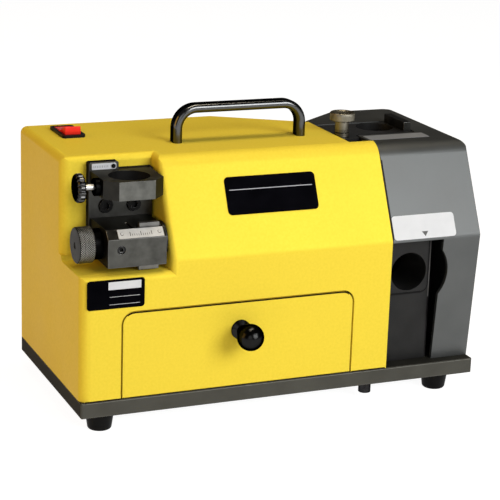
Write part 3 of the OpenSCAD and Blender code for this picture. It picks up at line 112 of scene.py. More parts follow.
# soft boxes: place and size in metres, strength, and a tint where one isn't white
softBoxes = {
    "keyBox": {"place": (0.75, -1.78, 0.97), "size": (1.2, 1.0), "watts": 35.3},
    "fillBox": {"place": (-0.9, -1.9, 0.7), "size": (1.2, 1.0), "watts": 5},
    "sideBox": {"place": (-1.95, 0.2, 0.75), "size": (1.2, 1.2), "watts": 12, "tint": (1, 0.54, 0.1)},
    "topBox": {"place": (0.05, -0.1, 1.5), "size": (0.9, 0.25), "watts": 8.5, "tint": (1, 0.87, 0.66)},
}
# the sky fades from the horizon's level to the ceiling's; floorPaint lights the machine from below, and
# floorShow and floorGlow are what is seen of the floor
studio = {
    "aim": (0, 0, 0.1),
    "horizon": 0.5,
    "ceiling": 0.06,
    "fadedBy": 0.14,
    "floorPaint": 0.85,
    "floorShow": 0.3,
    "floorGlow": 0.94,
    "floorSize": 6.0,
    "floorSquares": 8,
}


def hangLamps(boxes, look):
    for name, box in boxes.items():
        lamp = bpy.data.lights.new(name, "AREA")
        lamp.shape = "RECTANGLE"
        lamp.size, lamp.size_y = box["size"]
        lamp.energy = box["watts"]
        lamp.color = box.get("tint", (1, 1, 1))
        holder = bpy.data.objects.new(name, lamp)
        holder.location = box["place"]
        aim = Vector(look["aim"]) - Vector(box["place"])
        holder.rotation_euler = aim.to_track_quat("-Z", "Y").to_euler()
        scene.collection.objects.link(holder)


def rampOf(tree, fac, places, colours):
    ramp = tree.nodes.new("ShaderNodeValToRGB")
    for stop, place, colour in zip(ramp.color_ramp.elements, places, colours):
        stop.position = place
        stop.color = colour
    tree.links.new(fac, ramp.inputs["Fac"])
    return ramp.outputs["Color"]


def paintSky(look):
    sky = bpy.data.worlds.new("paleStudio")
    sky.use_nodes = True
    tree = sky.node_tree
    tree.nodes.clear()
    ways = tree.nodes.new("ShaderNodeTexCoord")
    split = tree.nodes.new("ShaderNodeSeparateXYZ")
    light = tree.nodes.new("ShaderNodeBackground")
    end = tree.nodes.new("ShaderNodeOutputWorld")
    tree.links.new(ways.outputs["Generated"], split.inputs[0])
    levels = (grey(look["horizon"]), grey(look["ceiling"]))
    fade = rampOf(tree, split.outputs["Z"], (0, look["fadedBy"]), levels)
    tree.links.new(fade, light.inputs["Color"])
    tree.links.new(light.outputs[0], end.inputs[0])
    scene.world = sky


def backgroundRays(tree):
    # 1 for rays that show the background itself: straight from the camera, in gloss or through glass
    path = tree.nodes.new("ShaderNodeLightPath")
    shown = path.outputs["Is Camera Ray"]
    for kind in ("Is Glossy Ray", "Is Transmission Ray"):
        either = tree.nodes.new("ShaderNodeMath")
        either.operation = "MAXIMUM"
        tree.links.new(shown, either.inputs[0])
        tree.links.new(path.outputs[kind], either.inputs[1])
        shown = either.outputs[0]
    return shown


def floorPaper(look):
    paper = bpy.data.materials.new("floorPaper")
    paper.use_nodes = True
    tree = paper.node_tree
    tree.nodes.clear()
    matt = tree.nodes.new("ShaderNodeBsdfDiffuse")
    matt.inputs["Color"].default_value = grey(look["floorPaint"])
    shown = tree.nodes.new("ShaderNodeBsdfDiffuse")  # what takes the shadow where the floor itself is seen
    shown.inputs["Color"].default_value = grey(look["floorShow"])
    glow = tree.nodes.new("ShaderNodeEmission")
    glow.inputs["Strength"].default_value = look["floorGlow"]
    both = tree.nodes.new("ShaderNodeAddShader")
    mix = tree.nodes.new("ShaderNodeMixShader")
    end = tree.nodes.new("ShaderNodeOutputMaterial")
    tree.links.new(shown.outputs[0], both.inputs[0])
    tree.links.new(glow.outputs[0], both.inputs[1])
    tree.links.new(backgroundRays(tree), mix.inputs[0])
    tree.links.new(matt.outputs[0], mix.inputs[1])
    tree.links.new(both.outputs[0], mix.inputs[2])
    tree.links.new(mix.outputs[0], end.inputs[0])
    return paper


def layFloor(look):
    form = bmesh.new()
    squares = look["floorSquares"]
    bmesh.ops.create_grid(form, x_segments=squares, y_segments=squares, size=look["floorSize"])
    mesh = bpy.data.meshes.new("studioFloor")
    form.to_mesh(mesh)
    form.free()
    mesh.materials.append(floorPaper(look))
    floor = bpy.data.objects.new("studioFloor", mesh)
    scene.collection.objects.link(floor)


hangLamps(softBoxes, studio)
paintSky(studio)
layFloor(studio)
scene.view_settings.view_transform = "Standard"
print("camera, lights and floor set")

# finishes: two colours and a range of roughness spread by noise, with a fine relief
noiseDetail = {"patch": 4.0, "grain": 2.0}
noiseReach = {"colour": (0.32, 0.68), "rough": (0.3, 0.7)}  # where most of the noise's values lie
plainLook = {
    "metal": 0.0,
    "shine": 0.5,
    "rimShine": 1.0,
    "patch": 30,
    "grain": 900,
    "stretch": None,
    "speckled": False,
    "relief": 0.15,
    "depth": 0.06,
}


def noiseOf(tree, scale, detail, stretch=None):
    coords = tree.nodes.new("ShaderNodeTexCoord")
    noise = tree.nodes.new("ShaderNodeTexNoise")
    noise.inputs["Scale"].default_value = scale
    noise.inputs["Detail"].default_value = detail
    source = coords.outputs["Object"]
    if stretch:
        turn = tree.nodes.new("ShaderNodeMapping")
        turn.inputs["Scale"].default_value = stretch
        tree.links.new(source, turn.inputs["Vector"])
        source = turn.outputs["Vector"]
    tree.links.new(source, noise.inputs["Vector"])
    return noise.outputs[0]


def spread(tree, fac, ends):
    span = tree.nodes.new("ShaderNodeMapRange")
    for socket, value in zip(("From Min", "From Max", "To Min", "To Max"), noiseReach["rough"] + ends):
        span.inputs[socket].default_value = value
    tree.links.new(fac, span.inputs["Value"])
    return span.outputs[0]


def raised(tree, height, strength, depth):
    bump = tree.nodes.new("ShaderNodeBump")
    bump.inputs["Strength"].default_value = strength
    bump.inputs["Distance"].default_value = depth * mm
    tree.links.new(height, bump.inputs["Height"])
    return bump.outputs["Normal"]


def makeFinish(name, ownLook):
    look = {**plainLook, **ownLook}
    mat = bpy.data.materials.new(name)
    mat.use_nodes = True
    tree = mat.node_tree
    shader = tree.nodes["Principled BSDF"]
    shader.inputs["Metallic"].default_value = look["metal"]
    shader.inputs["Specular IOR Level"].default_value = look["shine"]
    shader.inputs["Specular Tint"].default_value = grey(look["rimShine"])
    patches = noiseOf(tree, look["patch"], noiseDetail["patch"])
    fine = noiseOf(tree, look["grain"], noiseDetail["grain"], look["stretch"])
    colours = (look["dark"] + (1,), look["light"] + (1,))
    paint = rampOf(tree, fine if look["speckled"] else patches, noiseReach["colour"], colours)
    tree.links.new(paint, shader.inputs["Base Color"])
    tree.links.new(spread(tree, patches, look["rough"]), shader.inputs["Roughness"])
    tree.links.new(raised(tree, fine, look["relief"], look["depth"]), shader.inputs["Normal"])
    return mat


# depth is in mm; what a finish doesn't say is as in plainLook
finishLooks = {
    # painted sheet and plate
    "coverYellow": {"dark": (0.782, 0.6, 0.05), "light": (0.822, 0.632, 0.058), "rough": (0.36, 0.44),
                    "metal": 0.06, "shine": 0.03, "rimShine": 0.1, "patch": 18, "grain": 520,
                    "speckled": True, "relief": 0.5, "depth": 0.1},
    # painted shade, for the drawer's gap and the lines along the cover's foot
    "gapShade": {"dark": (0.012, 0.007, 0.002), "light": (0.02, 0.012, 0.003), "rough": (0.6, 0.7),
                 "shine": 0.05, "patch": 60},
    "hoodGrey": {"dark": (0.094, 0.099, 0.099), "light": (0.115, 0.12, 0.12), "rough": (0.42, 0.5),
                 "metal": 0.8, "rimShine": 0.3, "patch": 24, "relief": 0.4, "depth": 0.08},
    "baseGrey": {"dark": (0.062, 0.061, 0.053), "light": (0.077, 0.076, 0.066), "rough": (0.42, 0.52),
                 "metal": 0.8, "shine": 0.1, "rimShine": 0.0, "patch": 40, "grain": 1100, "relief": 0.35,
                 "depth": 0.1},
    # baseEdge lightens the base plate's eased edges: partly wear, partly painted highlight
    "baseEdge": {"dark": (0.1, 0.1, 0.09), "light": (0.17, 0.17, 0.155), "rough": (0.4, 0.5),
                 "metal": 0.5, "rimShine": 0.2, "patch": 160, "grain": 1200},
    "seatBlack": {"dark": (0.008, 0.008, 0.008), "light": (0.013, 0.013, 0.013), "rough": (0.36, 0.46),
                  "shine": 0.2, "patch": 60, "grain": 1500, "relief": 0.25},
    "handleBlack": {"dark": (0.084, 0.086, 0.087), "light": (0.1, 0.102, 0.103), "rough": (0.15, 0.19),
                    "metal": 1.0, "rimShine": 0.0, "grain": 1800, "relief": 0.02, "depth": 0.02},
    # machined, blackened and plated metal
    "gaugeOxide": {"dark": (0.022, 0.022, 0.02), "light": (0.036, 0.036, 0.033), "rough": (0.36, 0.46),
                   "metal": 1.0, "rimShine": 0.6, "patch": 90, "grain": 700, "stretch": (0.25, 1, 3),
                   "relief": 0.16, "depth": 0.04},
    "plateOxide": {"dark": (0.054, 0.054, 0.05), "light": (0.088, 0.088, 0.082), "rough": (0.36, 0.46),
                   "metal": 1.0, "rimShine": 0.05, "patch": 90, "grain": 700, "stretch": (0.25, 1, 3),
                   "relief": 0.16, "depth": 0.04},
    # blockOxideLit and ringOxideLit are lighter copies of gaugeOxide for faces turned to the lamps: painted
    # light
    "blockOxideLit": {"dark": (0.056, 0.056, 0.051), "light": (0.092, 0.092, 0.084), "rough": (0.36, 0.46),
                   "metal": 1.0, "rimShine": 0.6, "patch": 110, "grain": 700, "stretch": (0.5, 1, 2),
                   "relief": 0.25, "depth": 0.05},
    "ringOxideLit": {"dark": (0.08, 0.081, 0.074), "light": (0.14, 0.141, 0.13), "rough": (0.38, 0.48),
                  "metal": 1.0, "rimShine": 0.4, "patch": 120, "grain": 800, "stretch": (0.5, 1, 2),
                  "relief": 0.25, "depth": 0.05},
    # boreShade is painted shade: in the ring's bore, along the hood's edge and round the seat's raised face
    "boreShade": {"dark": (0.003, 0.003, 0.003), "light": (0.006, 0.006, 0.006), "rough": (0.5, 0.6),
                  "shine": 0.1, "patch": 120, "grain": 1400},
    # a painted highlight for the seat's rounded right edge
    "seatPaintedHighlight": {"dark": (0.06, 0.06, 0.058), "light": (0.085, 0.085, 0.082), "rough": (0.4, 0.5),
                "shine": 0.3, "patch": 90, "grain": 1400},
    "knurlSteel": {"dark": (0.22, 0.22, 0.203), "light": (0.31, 0.31, 0.288), "rough": (0.34, 0.42),
                   "metal": 1.0, "rimShine": 0.1, "patch": 300, "grain": 1500, "relief": 0.2,
                   "depth": 0.03},
    "stopSteel": {"dark": (0.15, 0.15, 0.145), "light": (0.21, 0.21, 0.2), "rough": (0.36, 0.46),
                  "metal": 0.9, "rimShine": 0.3, "patch": 120, "grain": 600, "stretch": (0.3, 2, 2)},
    "scaleAlloy": {"dark": (0.47, 0.47, 0.455), "light": (0.56, 0.56, 0.545), "rough": (0.5, 0.6),
                   "metal": 0.1, "shine": 0.15, "patch": 150, "stretch": (0.2, 2, 2), "relief": 0.1,
                   "depth": 0.02},
    # oxideEdge lightens eased edges of blackened parts: partly wear, partly painted highlight
    "oxideEdge": {"dark": (0.08, 0.08, 0.078), "light": (0.14, 0.14, 0.136), "rough": (0.3, 0.4),
                  "metal": 1.0, "rimShine": 0.3, "patch": 200, "grain": 1600},
    "collarBlack": {"dark": (0.0025, 0.0025, 0.0025), "light": (0.004, 0.004, 0.004), "rough": (0.3, 0.4),
                    "metal": 1.0, "rimShine": 0.0, "patch": 120, "grain": 1400},
    # painted shade for the dial's face and the knurl's grooves
    "dialShade": {"dark": (0.008, 0.008, 0.0072), "light": (0.012, 0.012, 0.0108), "rough": (0.42, 0.52),
                 "shine": 0.1, "patch": 120, "grain": 1400},
    "brightSteel": {"dark": (0.42, 0.42, 0.41), "light": (0.54, 0.54, 0.525), "rough": (0.24, 0.36),
                    "metal": 1.0, "patch": 120, "grain": 500, "stretch": (0.2, 3, 3), "relief": 0.12,
                    "depth": 0.03},
    "warmNickel": {"dark": (0.2, 0.186, 0.146), "light": (0.27, 0.25, 0.2), "rough": (0.4, 0.48),
                   "metal": 1.0, "rimShine": 0.1, "patch": 140, "grain": 1700, "relief": 0.05,
                   "depth": 0.02},
    "zincPlate": {"dark": (0.5, 0.51, 0.52), "light": (0.62, 0.63, 0.64), "rough": (0.28, 0.4),
                  "metal": 1.0, "patch": 200, "grain": 1500},
    "blackScrew": {"dark": (0.016, 0.016, 0.017), "light": (0.03, 0.03, 0.031), "rough": (0.24, 0.34),
                   "metal": 1.0, "rimShine": 0.1, "patch": 300, "grain": 1800},
    "capBlack": {"dark": (0.007, 0.007, 0.007), "light": (0.011, 0.011, 0.011), "rough": (0.3, 0.4),
                 "shine": 0.1, "patch": 300, "grain": 1800},
    # capEdge lightens the screw heads' eased edges: partly wear, partly painted highlight
    "capEdge": {"dark": (0.2, 0.2, 0.196), "light": (0.3, 0.3, 0.292), "rough": (0.3, 0.4), "patch": 300,
                "grain": 1800},
    "runnerSteel": {"dark": (0.42, 0.43, 0.44), "light": (0.52, 0.53, 0.54), "rough": (0.32, 0.44),
                    "metal": 1.0, "patch": 60, "grain": 420, "stretch": (3, 0.2, 3)},
    "motorAlloy": {"dark": (0.4, 0.41, 0.42), "light": (0.5, 0.51, 0.52), "rough": (0.38, 0.5),
                   "metal": 0.9, "patch": 70, "relief": 0.35, "depth": 0.1},
    "bearingSteel": {"dark": (0.5, 0.5, 0.5), "light": (0.6, 0.6, 0.6), "rough": (0.15, 0.25),
                     "metal": 1.0, "patch": 150, "stretch": (3, 0.4, 0.4)},
    "wheelAlloy": {"dark": (0.5, 0.51, 0.52), "light": (0.62, 0.63, 0.64), "rough": (0.28, 0.38),
                   "metal": 1.0, "patch": 80, "stretch": (0.3, 1, 1)},
    "padBrass": {"dark": (0.55, 0.38, 0.13), "light": (0.66, 0.47, 0.18), "rough": (0.28, 0.4),
                 "metal": 1.0, "patch": 160, "grain": 1200},
    "copperWinding": {"dark": (0.42, 0.16, 0.06), "light": (0.58, 0.25, 0.1), "rough": (0.3, 0.42),
                      "metal": 0.9, "patch": 90, "grain": 700, "stretch": (0.15, 4, 4), "relief": 0.7,
                      "depth": 0.2},
    # moulded pieces
    "footRubber": {"dark": (0.004, 0.004, 0.004), "light": (0.008, 0.008, 0.008), "rough": (0.42, 0.58),
                   "shine": 0.06, "patch": 70, "grain": 1600, "relief": 0.3, "depth": 0.08},
    "switchBlack": {"dark": (0.006, 0.006, 0.006), "light": (0.01, 0.01, 0.01), "rough": (0.3, 0.4),
                    "shine": 0.08, "patch": 120, "grain": 2400, "relief": 0.25, "depth": 0.05},
    "rockerRed": {"dark": (0.8, 0.028, 0.016), "light": (0.86, 0.034, 0.02), "rough": (0.18, 0.26),
                  "shine": 0.05, "patch": 150, "grain": 1900, "relief": 0.06, "depth": 0.03},
    "trayGrey": {"dark": (0.19, 0.195, 0.2), "light": (0.23, 0.235, 0.24), "rough": (0.45, 0.58),
                 "patch": 40, "grain": 1500, "relief": 0.3},
    "knobBlack": {"dark": (0.014, 0.014, 0.014), "light": (0.02, 0.02, 0.02), "rough": (0.19, 0.23),
                  "metal": 1.0, "rimShine": 0.0, "patch": 90, "grain": 1400, "relief": 0.03,
                  "depth": 0.02},
    "clampBlack": {"dark": (0.035, 0.035, 0.035), "light": (0.05, 0.05, 0.05), "rough": (0.12, 0.2),
                   "metal": 1.0, "rimShine": 0.0, "patch": 120, "grain": 1400, "relief": 0.03,
                   "depth": 0.02},
    # a lighter copy of clampBlack for the rim's flutes: painted highlight
    "clampRimHighlight": {"dark": (0.055, 0.055, 0.055), "light": (0.075, 0.075, 0.075), "rough": (0.12, 0.2),
                 "metal": 1.0, "rimShine": 0.0, "patch": 120, "grain": 1400, "relief": 0.03,
                 "depth": 0.02},
    "abrasive": {"dark": (0.07, 0.062, 0.05), "light": (0.3, 0.27, 0.22), "rough": (0.75, 0.9),
                 "patch": 120, "grain": 2600, "speckled": True, "relief": 0.9, "depth": 0.15},
    # labels
    "labelBlack": {"dark": (0.0012, 0.0012, 0.002), "light": (0.0024, 0.0024, 0.0038),
                   "rough": (0.38, 0.46), "shine": 0.002, "patch": 60, "grain": 1500, "relief": 0.05,
                   "depth": 0.02},
    "labelWhite": {"dark": (0.565, 0.585, 0.615), "light": (0.61, 0.63, 0.66), "rough": (0.35, 0.45),
                   "shine": 0.2, "patch": 80, "grain": 1500, "relief": 0.06, "depth": 0.02},
    "labelGrey": {"dark": (0.2, 0.21, 0.223), "light": (0.235, 0.245, 0.26), "rough": (0.3, 0.4),
                  "patch": 80, "grain": 1500, "relief": 0.06, "depth": 0.02},
    "ruleSilver": {"dark": (0.36, 0.37, 0.42), "light": (0.44, 0.45, 0.5), "rough": (0.4, 0.5),
                   "shine": 0.2, "patch": 120, "grain": 1500},
    "pointerGrey": {"dark": (0.07, 0.07, 0.07), "light": (0.09, 0.09, 0.09), "rough": (0.4, 0.5),
                    "shine": 0.2, "patch": 120, "grain": 1500},
    # printed ink for the ticks, and painted shade round the rivets
    "markInkAndShade": {"dark": (0.02, 0.02, 0.022), "light": (0.035, 0.035, 0.037), "rough": (0.45, 0.55),
                "patch": 200, "grain": 1500},
}
finishes = {name: makeFinish(name, look) for name, look in finishLooks.items()}
print("finishes made:", len(finishes))

# what the forms share
roundProfile = 0.5  # a quarter circle, as a bevel counts it


def everything(form):
    return form.verts[:] + form.edges[:] + form.faces[:]


def vertsOf(items):
    return [item for item in items if isinstance(item, bmesh.types.BMVert)]


def edgesOf(items):
    return [item for item in items if isinstance(item, bmesh.types.BMEdge)]


def addRectangle(form, width, height):
    # a square of one metre, brought to size
    bmesh.ops.create_grid(form, x_segments=1, y_segments=1, size=0.5)
    bmesh.ops.scale(form, vec=(width, height, 1), verts=form.verts)


def roundCorners(form, radius, steps):
    bmesh.ops.bevel(form, geom=form.verts[:], offset=radius * mm, affect="VERTICES", segments=steps,
                    profile=roundProfile, material=-1)


def closeHoles(form):
    bmesh.ops.holes_fill(form, edges=[edge for edge in form.edges if edge.is_boundary], sides=0)


def softenForm(form, crease):
    for face in form.faces:
        face.smooth = True
    for edge in form.edges:
        edge.smooth = len(edge.link_faces) == 2 and edge.calc_face_angle(0) < math.radians(crease)


def addPiece(name, form, finish, body, more=()):
    mesh = bpy.data.meshes.new(name)
    form.to_mesh(mesh)
    form.free()
    for coat in (finish, *more):
        mesh.materials.append(finishes[coat])
    piece = bpy.data.objects.new(name, mesh)
    scene.collection.objects.link(piece)
    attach(piece, body)
    return piece


def standFor(node):
    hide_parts(node)


# every CAD node gets a merged copy with smooth rounds, eased edges and its finish
merging = {"weld": 0.002, "flat": 0.3, "crease": 32}  # mm, then degrees
easing = {"steps": 2, "angle": 38, "weight": 60}
facing = {"square": 0.97, "inward": 0.5, "beside": 0.3, "up": 0.3, "left": 0.6}  # limits on a face's normal
endReach = 0.1  # mm within which a point counts as the end of a piece


def nodeForm(node):
    form = bmesh.new()
    form.from_mesh(nodes[node].data)
    bmesh.ops.remove_doubles(form, verts=form.verts, dist=merging["weld"] * mm)
    bmesh.ops.dissolve_limit(form, angle_limit=math.radians(merging["flat"]), verts=form.verts,
                             edges=form.edges)
    softenForm(form, merging["crease"])
    return form


def easeEdges(piece, width, wornAndLitSlot=-1):
    if width:
        ease = piece.modifiers.new("easedEdges", "BEVEL")
        ease.width = width * mm
        ease.segments = easing["steps"]
        ease.limit_method = "ANGLE"
        ease.angle_limit = math.radians(easing["angle"])
        # the eased edges take the worn coat's slot: partly wear, partly painted highlight
        ease.material = wornAndLitSlot
    even = piece.modifiers.new("evenShade", "WEIGHTED_NORMAL")
    even.keep_sharp = True
    even.weight = easing["weight"]


def paintFaces(form, slot, isChosen):
    for face in form.faces:
        if isChosen(face):
            face.material_index = slot


def litSideFaces(sides):
    # the faces turned to the given sides, which get a lighter copy of the finish: painted light
    return lambda face: any(face.normal.dot(side) > facing["square"] for side in sides)


def boreFaces(bore, reach):
    # the wall of an upright bore
    middle = at(*bore)

    def isWall(face):
        spoke = (face.calc_center_median() - middle).xy
        return spoke.length < reach * mm and spoke.dot(face.normal.xy) < -facing["inward"] * spoke.length

    return isWall


def rivetFaces(places, reach, area):
    # the small cone faces round each rivet, painted dark as painted shade of the gap beside it
    def isCone(face):
        beside = min(abs(face.calc_center_median().x - at(x, 0, 0).x) for x in places)
        return beside < reach * mm and face.calc_area() < area * mm ** 2

    return isCone


def lengthen(form, node, more):
    # draws a piece out at its lower end
    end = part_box(node)[0].z + endReach * mm
    lowest = [vert for vert in form.verts if vert.co.z < end]
    bmesh.ops.translate(form, vec=alongZ * -more * mm, verts=lowest)


def shadeGap(form, slot, width):
    # rounds the drawer front's outline and paints the gap's shade on its top and its left edge, as painted
    # shade
    low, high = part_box("drawer_knob")
    knob = (low + high) / 2
    rim = []
    for edge in form.edges:
        turns = [face.normal.dot(frontward) for face in edge.link_faces]
        isCorner = max(turns) > facing["square"] and min(turns) < facing["beside"]
        middle = (edge.verts[0].co + edge.verts[1].co) / 2
        if isCorner and (middle - knob).xz.length > high.x - low.x:
            rim.append(edge)
    out = bmesh.ops.bevel(form, geom=rim, offset=width * mm, offset_type="OFFSET", segments=easing["steps"],
                          profile=roundProfile, affect="EDGES", material=slot)
    for face in out["faces"]:
        isShaded = face.normal.z > facing["up"] or face.normal.x < -facing["left"]
        face.material_index = slot if isShaded else 0
        face.smooth = True


def dressNode(node, look):
    form = nodeForm(node)
    # the worn coat lightens the eased edges: partly wear, partly painted highlight
    coats = [look["wornAndLitEdge"]] if "wornAndLitEdge" in look else []
    # painted light: faces turned to the front or the top get a lighter copy of the finish
    if "ground" in look:
        coats.append(look["ground"])
        paintFaces(form, len(coats), litSideFaces(look["groundSides"]))
    if "bore" in look:
        coats.append("boreShade")
        paintFaces(form, len(coats), boreFaces(look["bore"], look["boreReach"]))
    if "rivets" in look:
        # painted shade round the rivets
        coats.append("markInkAndShade")
        paintFaces(form, len(coats), rivetFaces(look["rivets"], look["rivetReach"], look["coneArea"]))
    if "longer" in look:
        lengthen(form, node, look["longer"])
    if "gap" in look:
        coats.append(look["gap"])
        shadeGap(form, len(coats), look["gapWidth"])
    piece = addPiece(look["name"], form, look["finish"], nodes[node]["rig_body"], coats)
    easeEdges(piece, look.get("ease", 0), 1 if "wornAndLitEdge" in look else -1)
    standFor(node)


# ease, reach, width and length in mm, area in square mm
nodeLooks = {
    # worn edges below are partly wear, partly painted highlight
    "base_plate": {"name": "basePlate", "finish": "baseGrey", "ease": 0.5, "wornAndLitEdge": "baseEdge"},
    "foot_front_left": {"name": "footFrontLeft", "finish": "footRubber", "ease": 0.5},
    "foot_front_right": {"name": "footFrontRight", "finish": "footRubber", "ease": 0.5},
    "foot_rear_left": {"name": "footRearLeft", "finish": "footRubber", "ease": 0.5},
    "foot_rear_right": {"name": "footRearRight", "finish": "footRubber", "ease": 0.5},
    "foot_screws": {"name": "footScrews", "finish": "zincPlate", "ease": 0.15},
    "bulkhead": {"name": "bulkheadPlate", "finish": "seatBlack", "ease": 0.3},
    "bulkhead_screws": {"name": "bulkheadScrews", "finish": "blackScrew", "ease": 0.15},
    "cover": {"name": "coverShell", "finish": "coverYellow", "ease": 0.5},
    "hood": {"name": "hoodShell", "finish": "hoodGrey", "ease": 0.3},
    "handle_screws": {"name": "handleScrews", "finish": "zincPlate", "ease": 0.15},
    "switch_body": {"name": "switchBody", "finish": "switchBlack", "ease": 0.35},
    "switch_rocker": {"name": "switchRocker", "finish": "rockerRed", "ease": 0.4},
    "power_inlet": {"name": "powerInlet", "finish": "switchBlack", "ease": 0.25},
    "drawer_tray": {"name": "drawerTray", "finish": "trayGrey", "ease": 0.3},
    "drawer_front": {"name": "drawerFront", "finish": "coverYellow", "gap": "gapShade", "gapWidth": 0.9},
    "drawer_knob": {"name": "drawerBall", "finish": "knobBlack"},
    "runner_left": {"name": "runnerLeft", "finish": "runnerSteel", "ease": 0.2},
    "runner_right": {"name": "runnerRight", "finish": "runnerSteel", "ease": 0.2},
    "front_seat": {"name": "frontSeat", "finish": "seatBlack", "ease": 0.4},
    "top_seat": {"name": "topSeat", "finish": "seatBlack", "ease": 0.35},
    "seat_post": {"name": "seatPost", "finish": "seatBlack", "ease": 0.3},
    "seat_fence": {"name": "seatFence", "finish": "gaugeOxide", "ease": 0.25, "wornAndLitEdge": "oxideEdge"},
    "plunger_sleeve": {"name": "plungerSleeve", "finish": "warmNickel", "ease": 0.25},
    "motor_can": {"name": "motorCan", "finish": "motorAlloy", "ease": 0.3},
    "motor_stator": {"name": "motorStator", "finish": "copperWinding", "ease": 0.3},
    "motor_rear_bell": {"name": "motorRearBell", "finish": "motorAlloy", "ease": 0.3},
    "motor_nose": {"name": "motorNose", "finish": "motorAlloy", "ease": 0.3},
    "motor_cradle": {"name": "motorCradle", "finish": "seatBlack", "ease": 0.3},
    "bearing_rear": {"name": "bearingRear", "finish": "bearingSteel", "ease": 0.2},
    "bearing_front": {"name": "bearingFront", "finish": "bearingSteel", "ease": 0.2},
    "spindle": {"name": "spindleShaft", "finish": "brightSteel", "ease": 0.2},
    "rotor": {"name": "rotorPack", "finish": "runnerSteel", "ease": 0.2},
    "wheel_core": {"name": "wheelCore", "finish": "wheelAlloy", "ease": 0.3},
    "wheel_rim": {"name": "wheelRim", "finish": "abrasive", "ease": 0.2},
    "wheel_nut": {"name": "wheelNut", "finish": "zincPlate", "ease": 0.25},
    "gauge_plate": {"name": "gaugePlate", "finish": "plateOxide", "ease": 0.35},
    "gauge_screws": {"name": "gaugeScrews", "finish": "capBlack", "ease": 0.4, "wornAndLitEdge": "capEdge"},
    # the ring's front and top are painted in a lighter copy of the oxide: painted light
    "gauge_ring": {"name": "gaugeRing", "finish": "gaugeOxide", "ease": 0.45, "wornAndLitEdge": "oxideEdge",
                   "ground": "ringOxideLit", "groundSides": (frontward, alongZ), "bore": (42, 22.5, 0),
                   "boreReach": 15.2},
    "clamp_collar": {"name": "clampCollar", "finish": "collarBlack", "ease": 0.3},
    "clamp_pad": {"name": "clampPad", "finish": "padBrass", "ease": 0.2},
    # the block's front is painted in a lighter copy of the oxide: painted light
    "gauge_block": {"name": "gaugeBlock", "finish": "gaugeOxide", "ease": 0.35, "wornAndLitEdge": "oxideEdge",
                    "ground": "blockOxideLit", "groundSides": (frontward,)},
    "scale_plate": {"name": "scalePlate", "finish": "scaleAlloy", "rivets": (31, 59), "rivetReach": 1.7,
                    "coneArea": 1.7},
    "index_strip": {"name": "indexStrip", "finish": "labelWhite", "ease": 0.1},
    "index_screw": {"name": "indexScrew", "finish": "blackScrew", "ease": 0.12},
    "lock_screw": {"name": "lockScrew", "finish": "blackScrew", "ease": 0.25, "wornAndLitEdge": "oxideEdge"},
    "dial_collar": {"name": "dialCollar", "finish": "collarBlack", "ease": 0.3},
    "stop_plate": {"name": "stopPlate", "finish": "stopSteel", "ease": 0.2, "longer": 1.7},
}
for node, look in nodeLooks.items():
    dressNode(node, look)
print("CAD nodes dressed:", len(nodeLooks))

# turned pieces: an outline of (along, radius) in mm, spun round the piece's own axis
turning = {"weld": 0.001, "rim": 0.01}  # how near points are one point, and how near the rim they are on it
shaftFit = {"into": 0.05, "ease": 0.2}


def turnForm(outline, start, axis, steps):
    spoke = alongZ if axis.x else frontward
    form = bmesh.new()
    points = [form.verts.new(start + axis * along * mm + spoke * radius * mm) for along, radius in outline]
    edges = [form.edges.new(pair) for pair in zip(points, points[1:])]
    bmesh.ops.spin(form, geom=points + edges, cent=start, axis=axis, angle=math.tau, steps=steps,
                   use_merge=True)
    bmesh.ops.remove_doubles(form, verts=form.verts, dist=turning["weld"] * mm)
    bmesh.ops.recalc_face_normals(form, faces=form.faces)
    return form


def rimPoints(low, high, radius, count):
    return [(low + (high - low) * i / count, radius) for i in range(count + 1)]


def workRim(form, start, axis, depthAt):
    # depthAt says how deep a point is cut, from its turn (0 to 1), its place along the axis and its radius
    for vert in form.verts:
        reach = vert.co - start
        along = reach.dot(axis)
        spoke = reach - axis * along
        if spoke.length < turning["weld"] * mm:
            continue
        turn = math.atan2(spoke.z, spoke.y) if axis.x else math.atan2(spoke.y, spoke.x)
        depth = depthAt(turn / math.tau % 1, along / mm, spoke.length / mm)
        vert.co -= spoke.normalized() * depth * mm


def headStart(node, head):
    # the middle of the head's left face, which stands further out than the CAD's
    low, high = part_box(node)
    return Vector((low.x - head["proud"] * mm, (low.y + high.y) / 2, (low.z + high.z) / 2))


def shaftOf(node, name, finish, head):
    # the rest of a knob's CAD node, right of its head, drawn out to go into the head that is turned here
    form = nodeForm(node)
    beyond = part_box(node)[0].x + (head["cadWidth"] + shaftFit["into"]) * mm
    reach = head["cadWidth"] + head["proud"] - head["width"] + 2 * shaftFit["into"]
    cut = bmesh.ops.bisect_plane(form, geom=everything(form), clear_inner=True, plane_co=(beyond, 0, 0),
                                 plane_no=alongX)["geom_cut"]
    bmesh.ops.translate(form, vec=alongX * -reach * mm, verts=vertsOf(cut))
    piece = addPiece(name, form, finish, nodes[node]["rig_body"])
    easeEdges(piece, shaftFit["ease"])
    standFor(node)


# dial: a diamond-knurled rim round a dark face; the face and the knurl's grooves are painted shade;
# faceEdge is measured in from the rim
dialHead = {
    "width": 11.6,
    "cadWidth": 8.5,
    "proud": 3.1,
    "radius": 13.3,
    "dimple": [(0.5, 0), (0.5, 2.2), (0, 2.6)],
    "faceEdge": [(0, 2.4), (0.1, 0.84)],
    "backEdge": 3,
    "ease": 0.7,
    "diamonds": 50,
    "cut": 0.5,
    "groove": 0.36,
    "around": 400,
    "along": 40,
    "crease": 24,
}


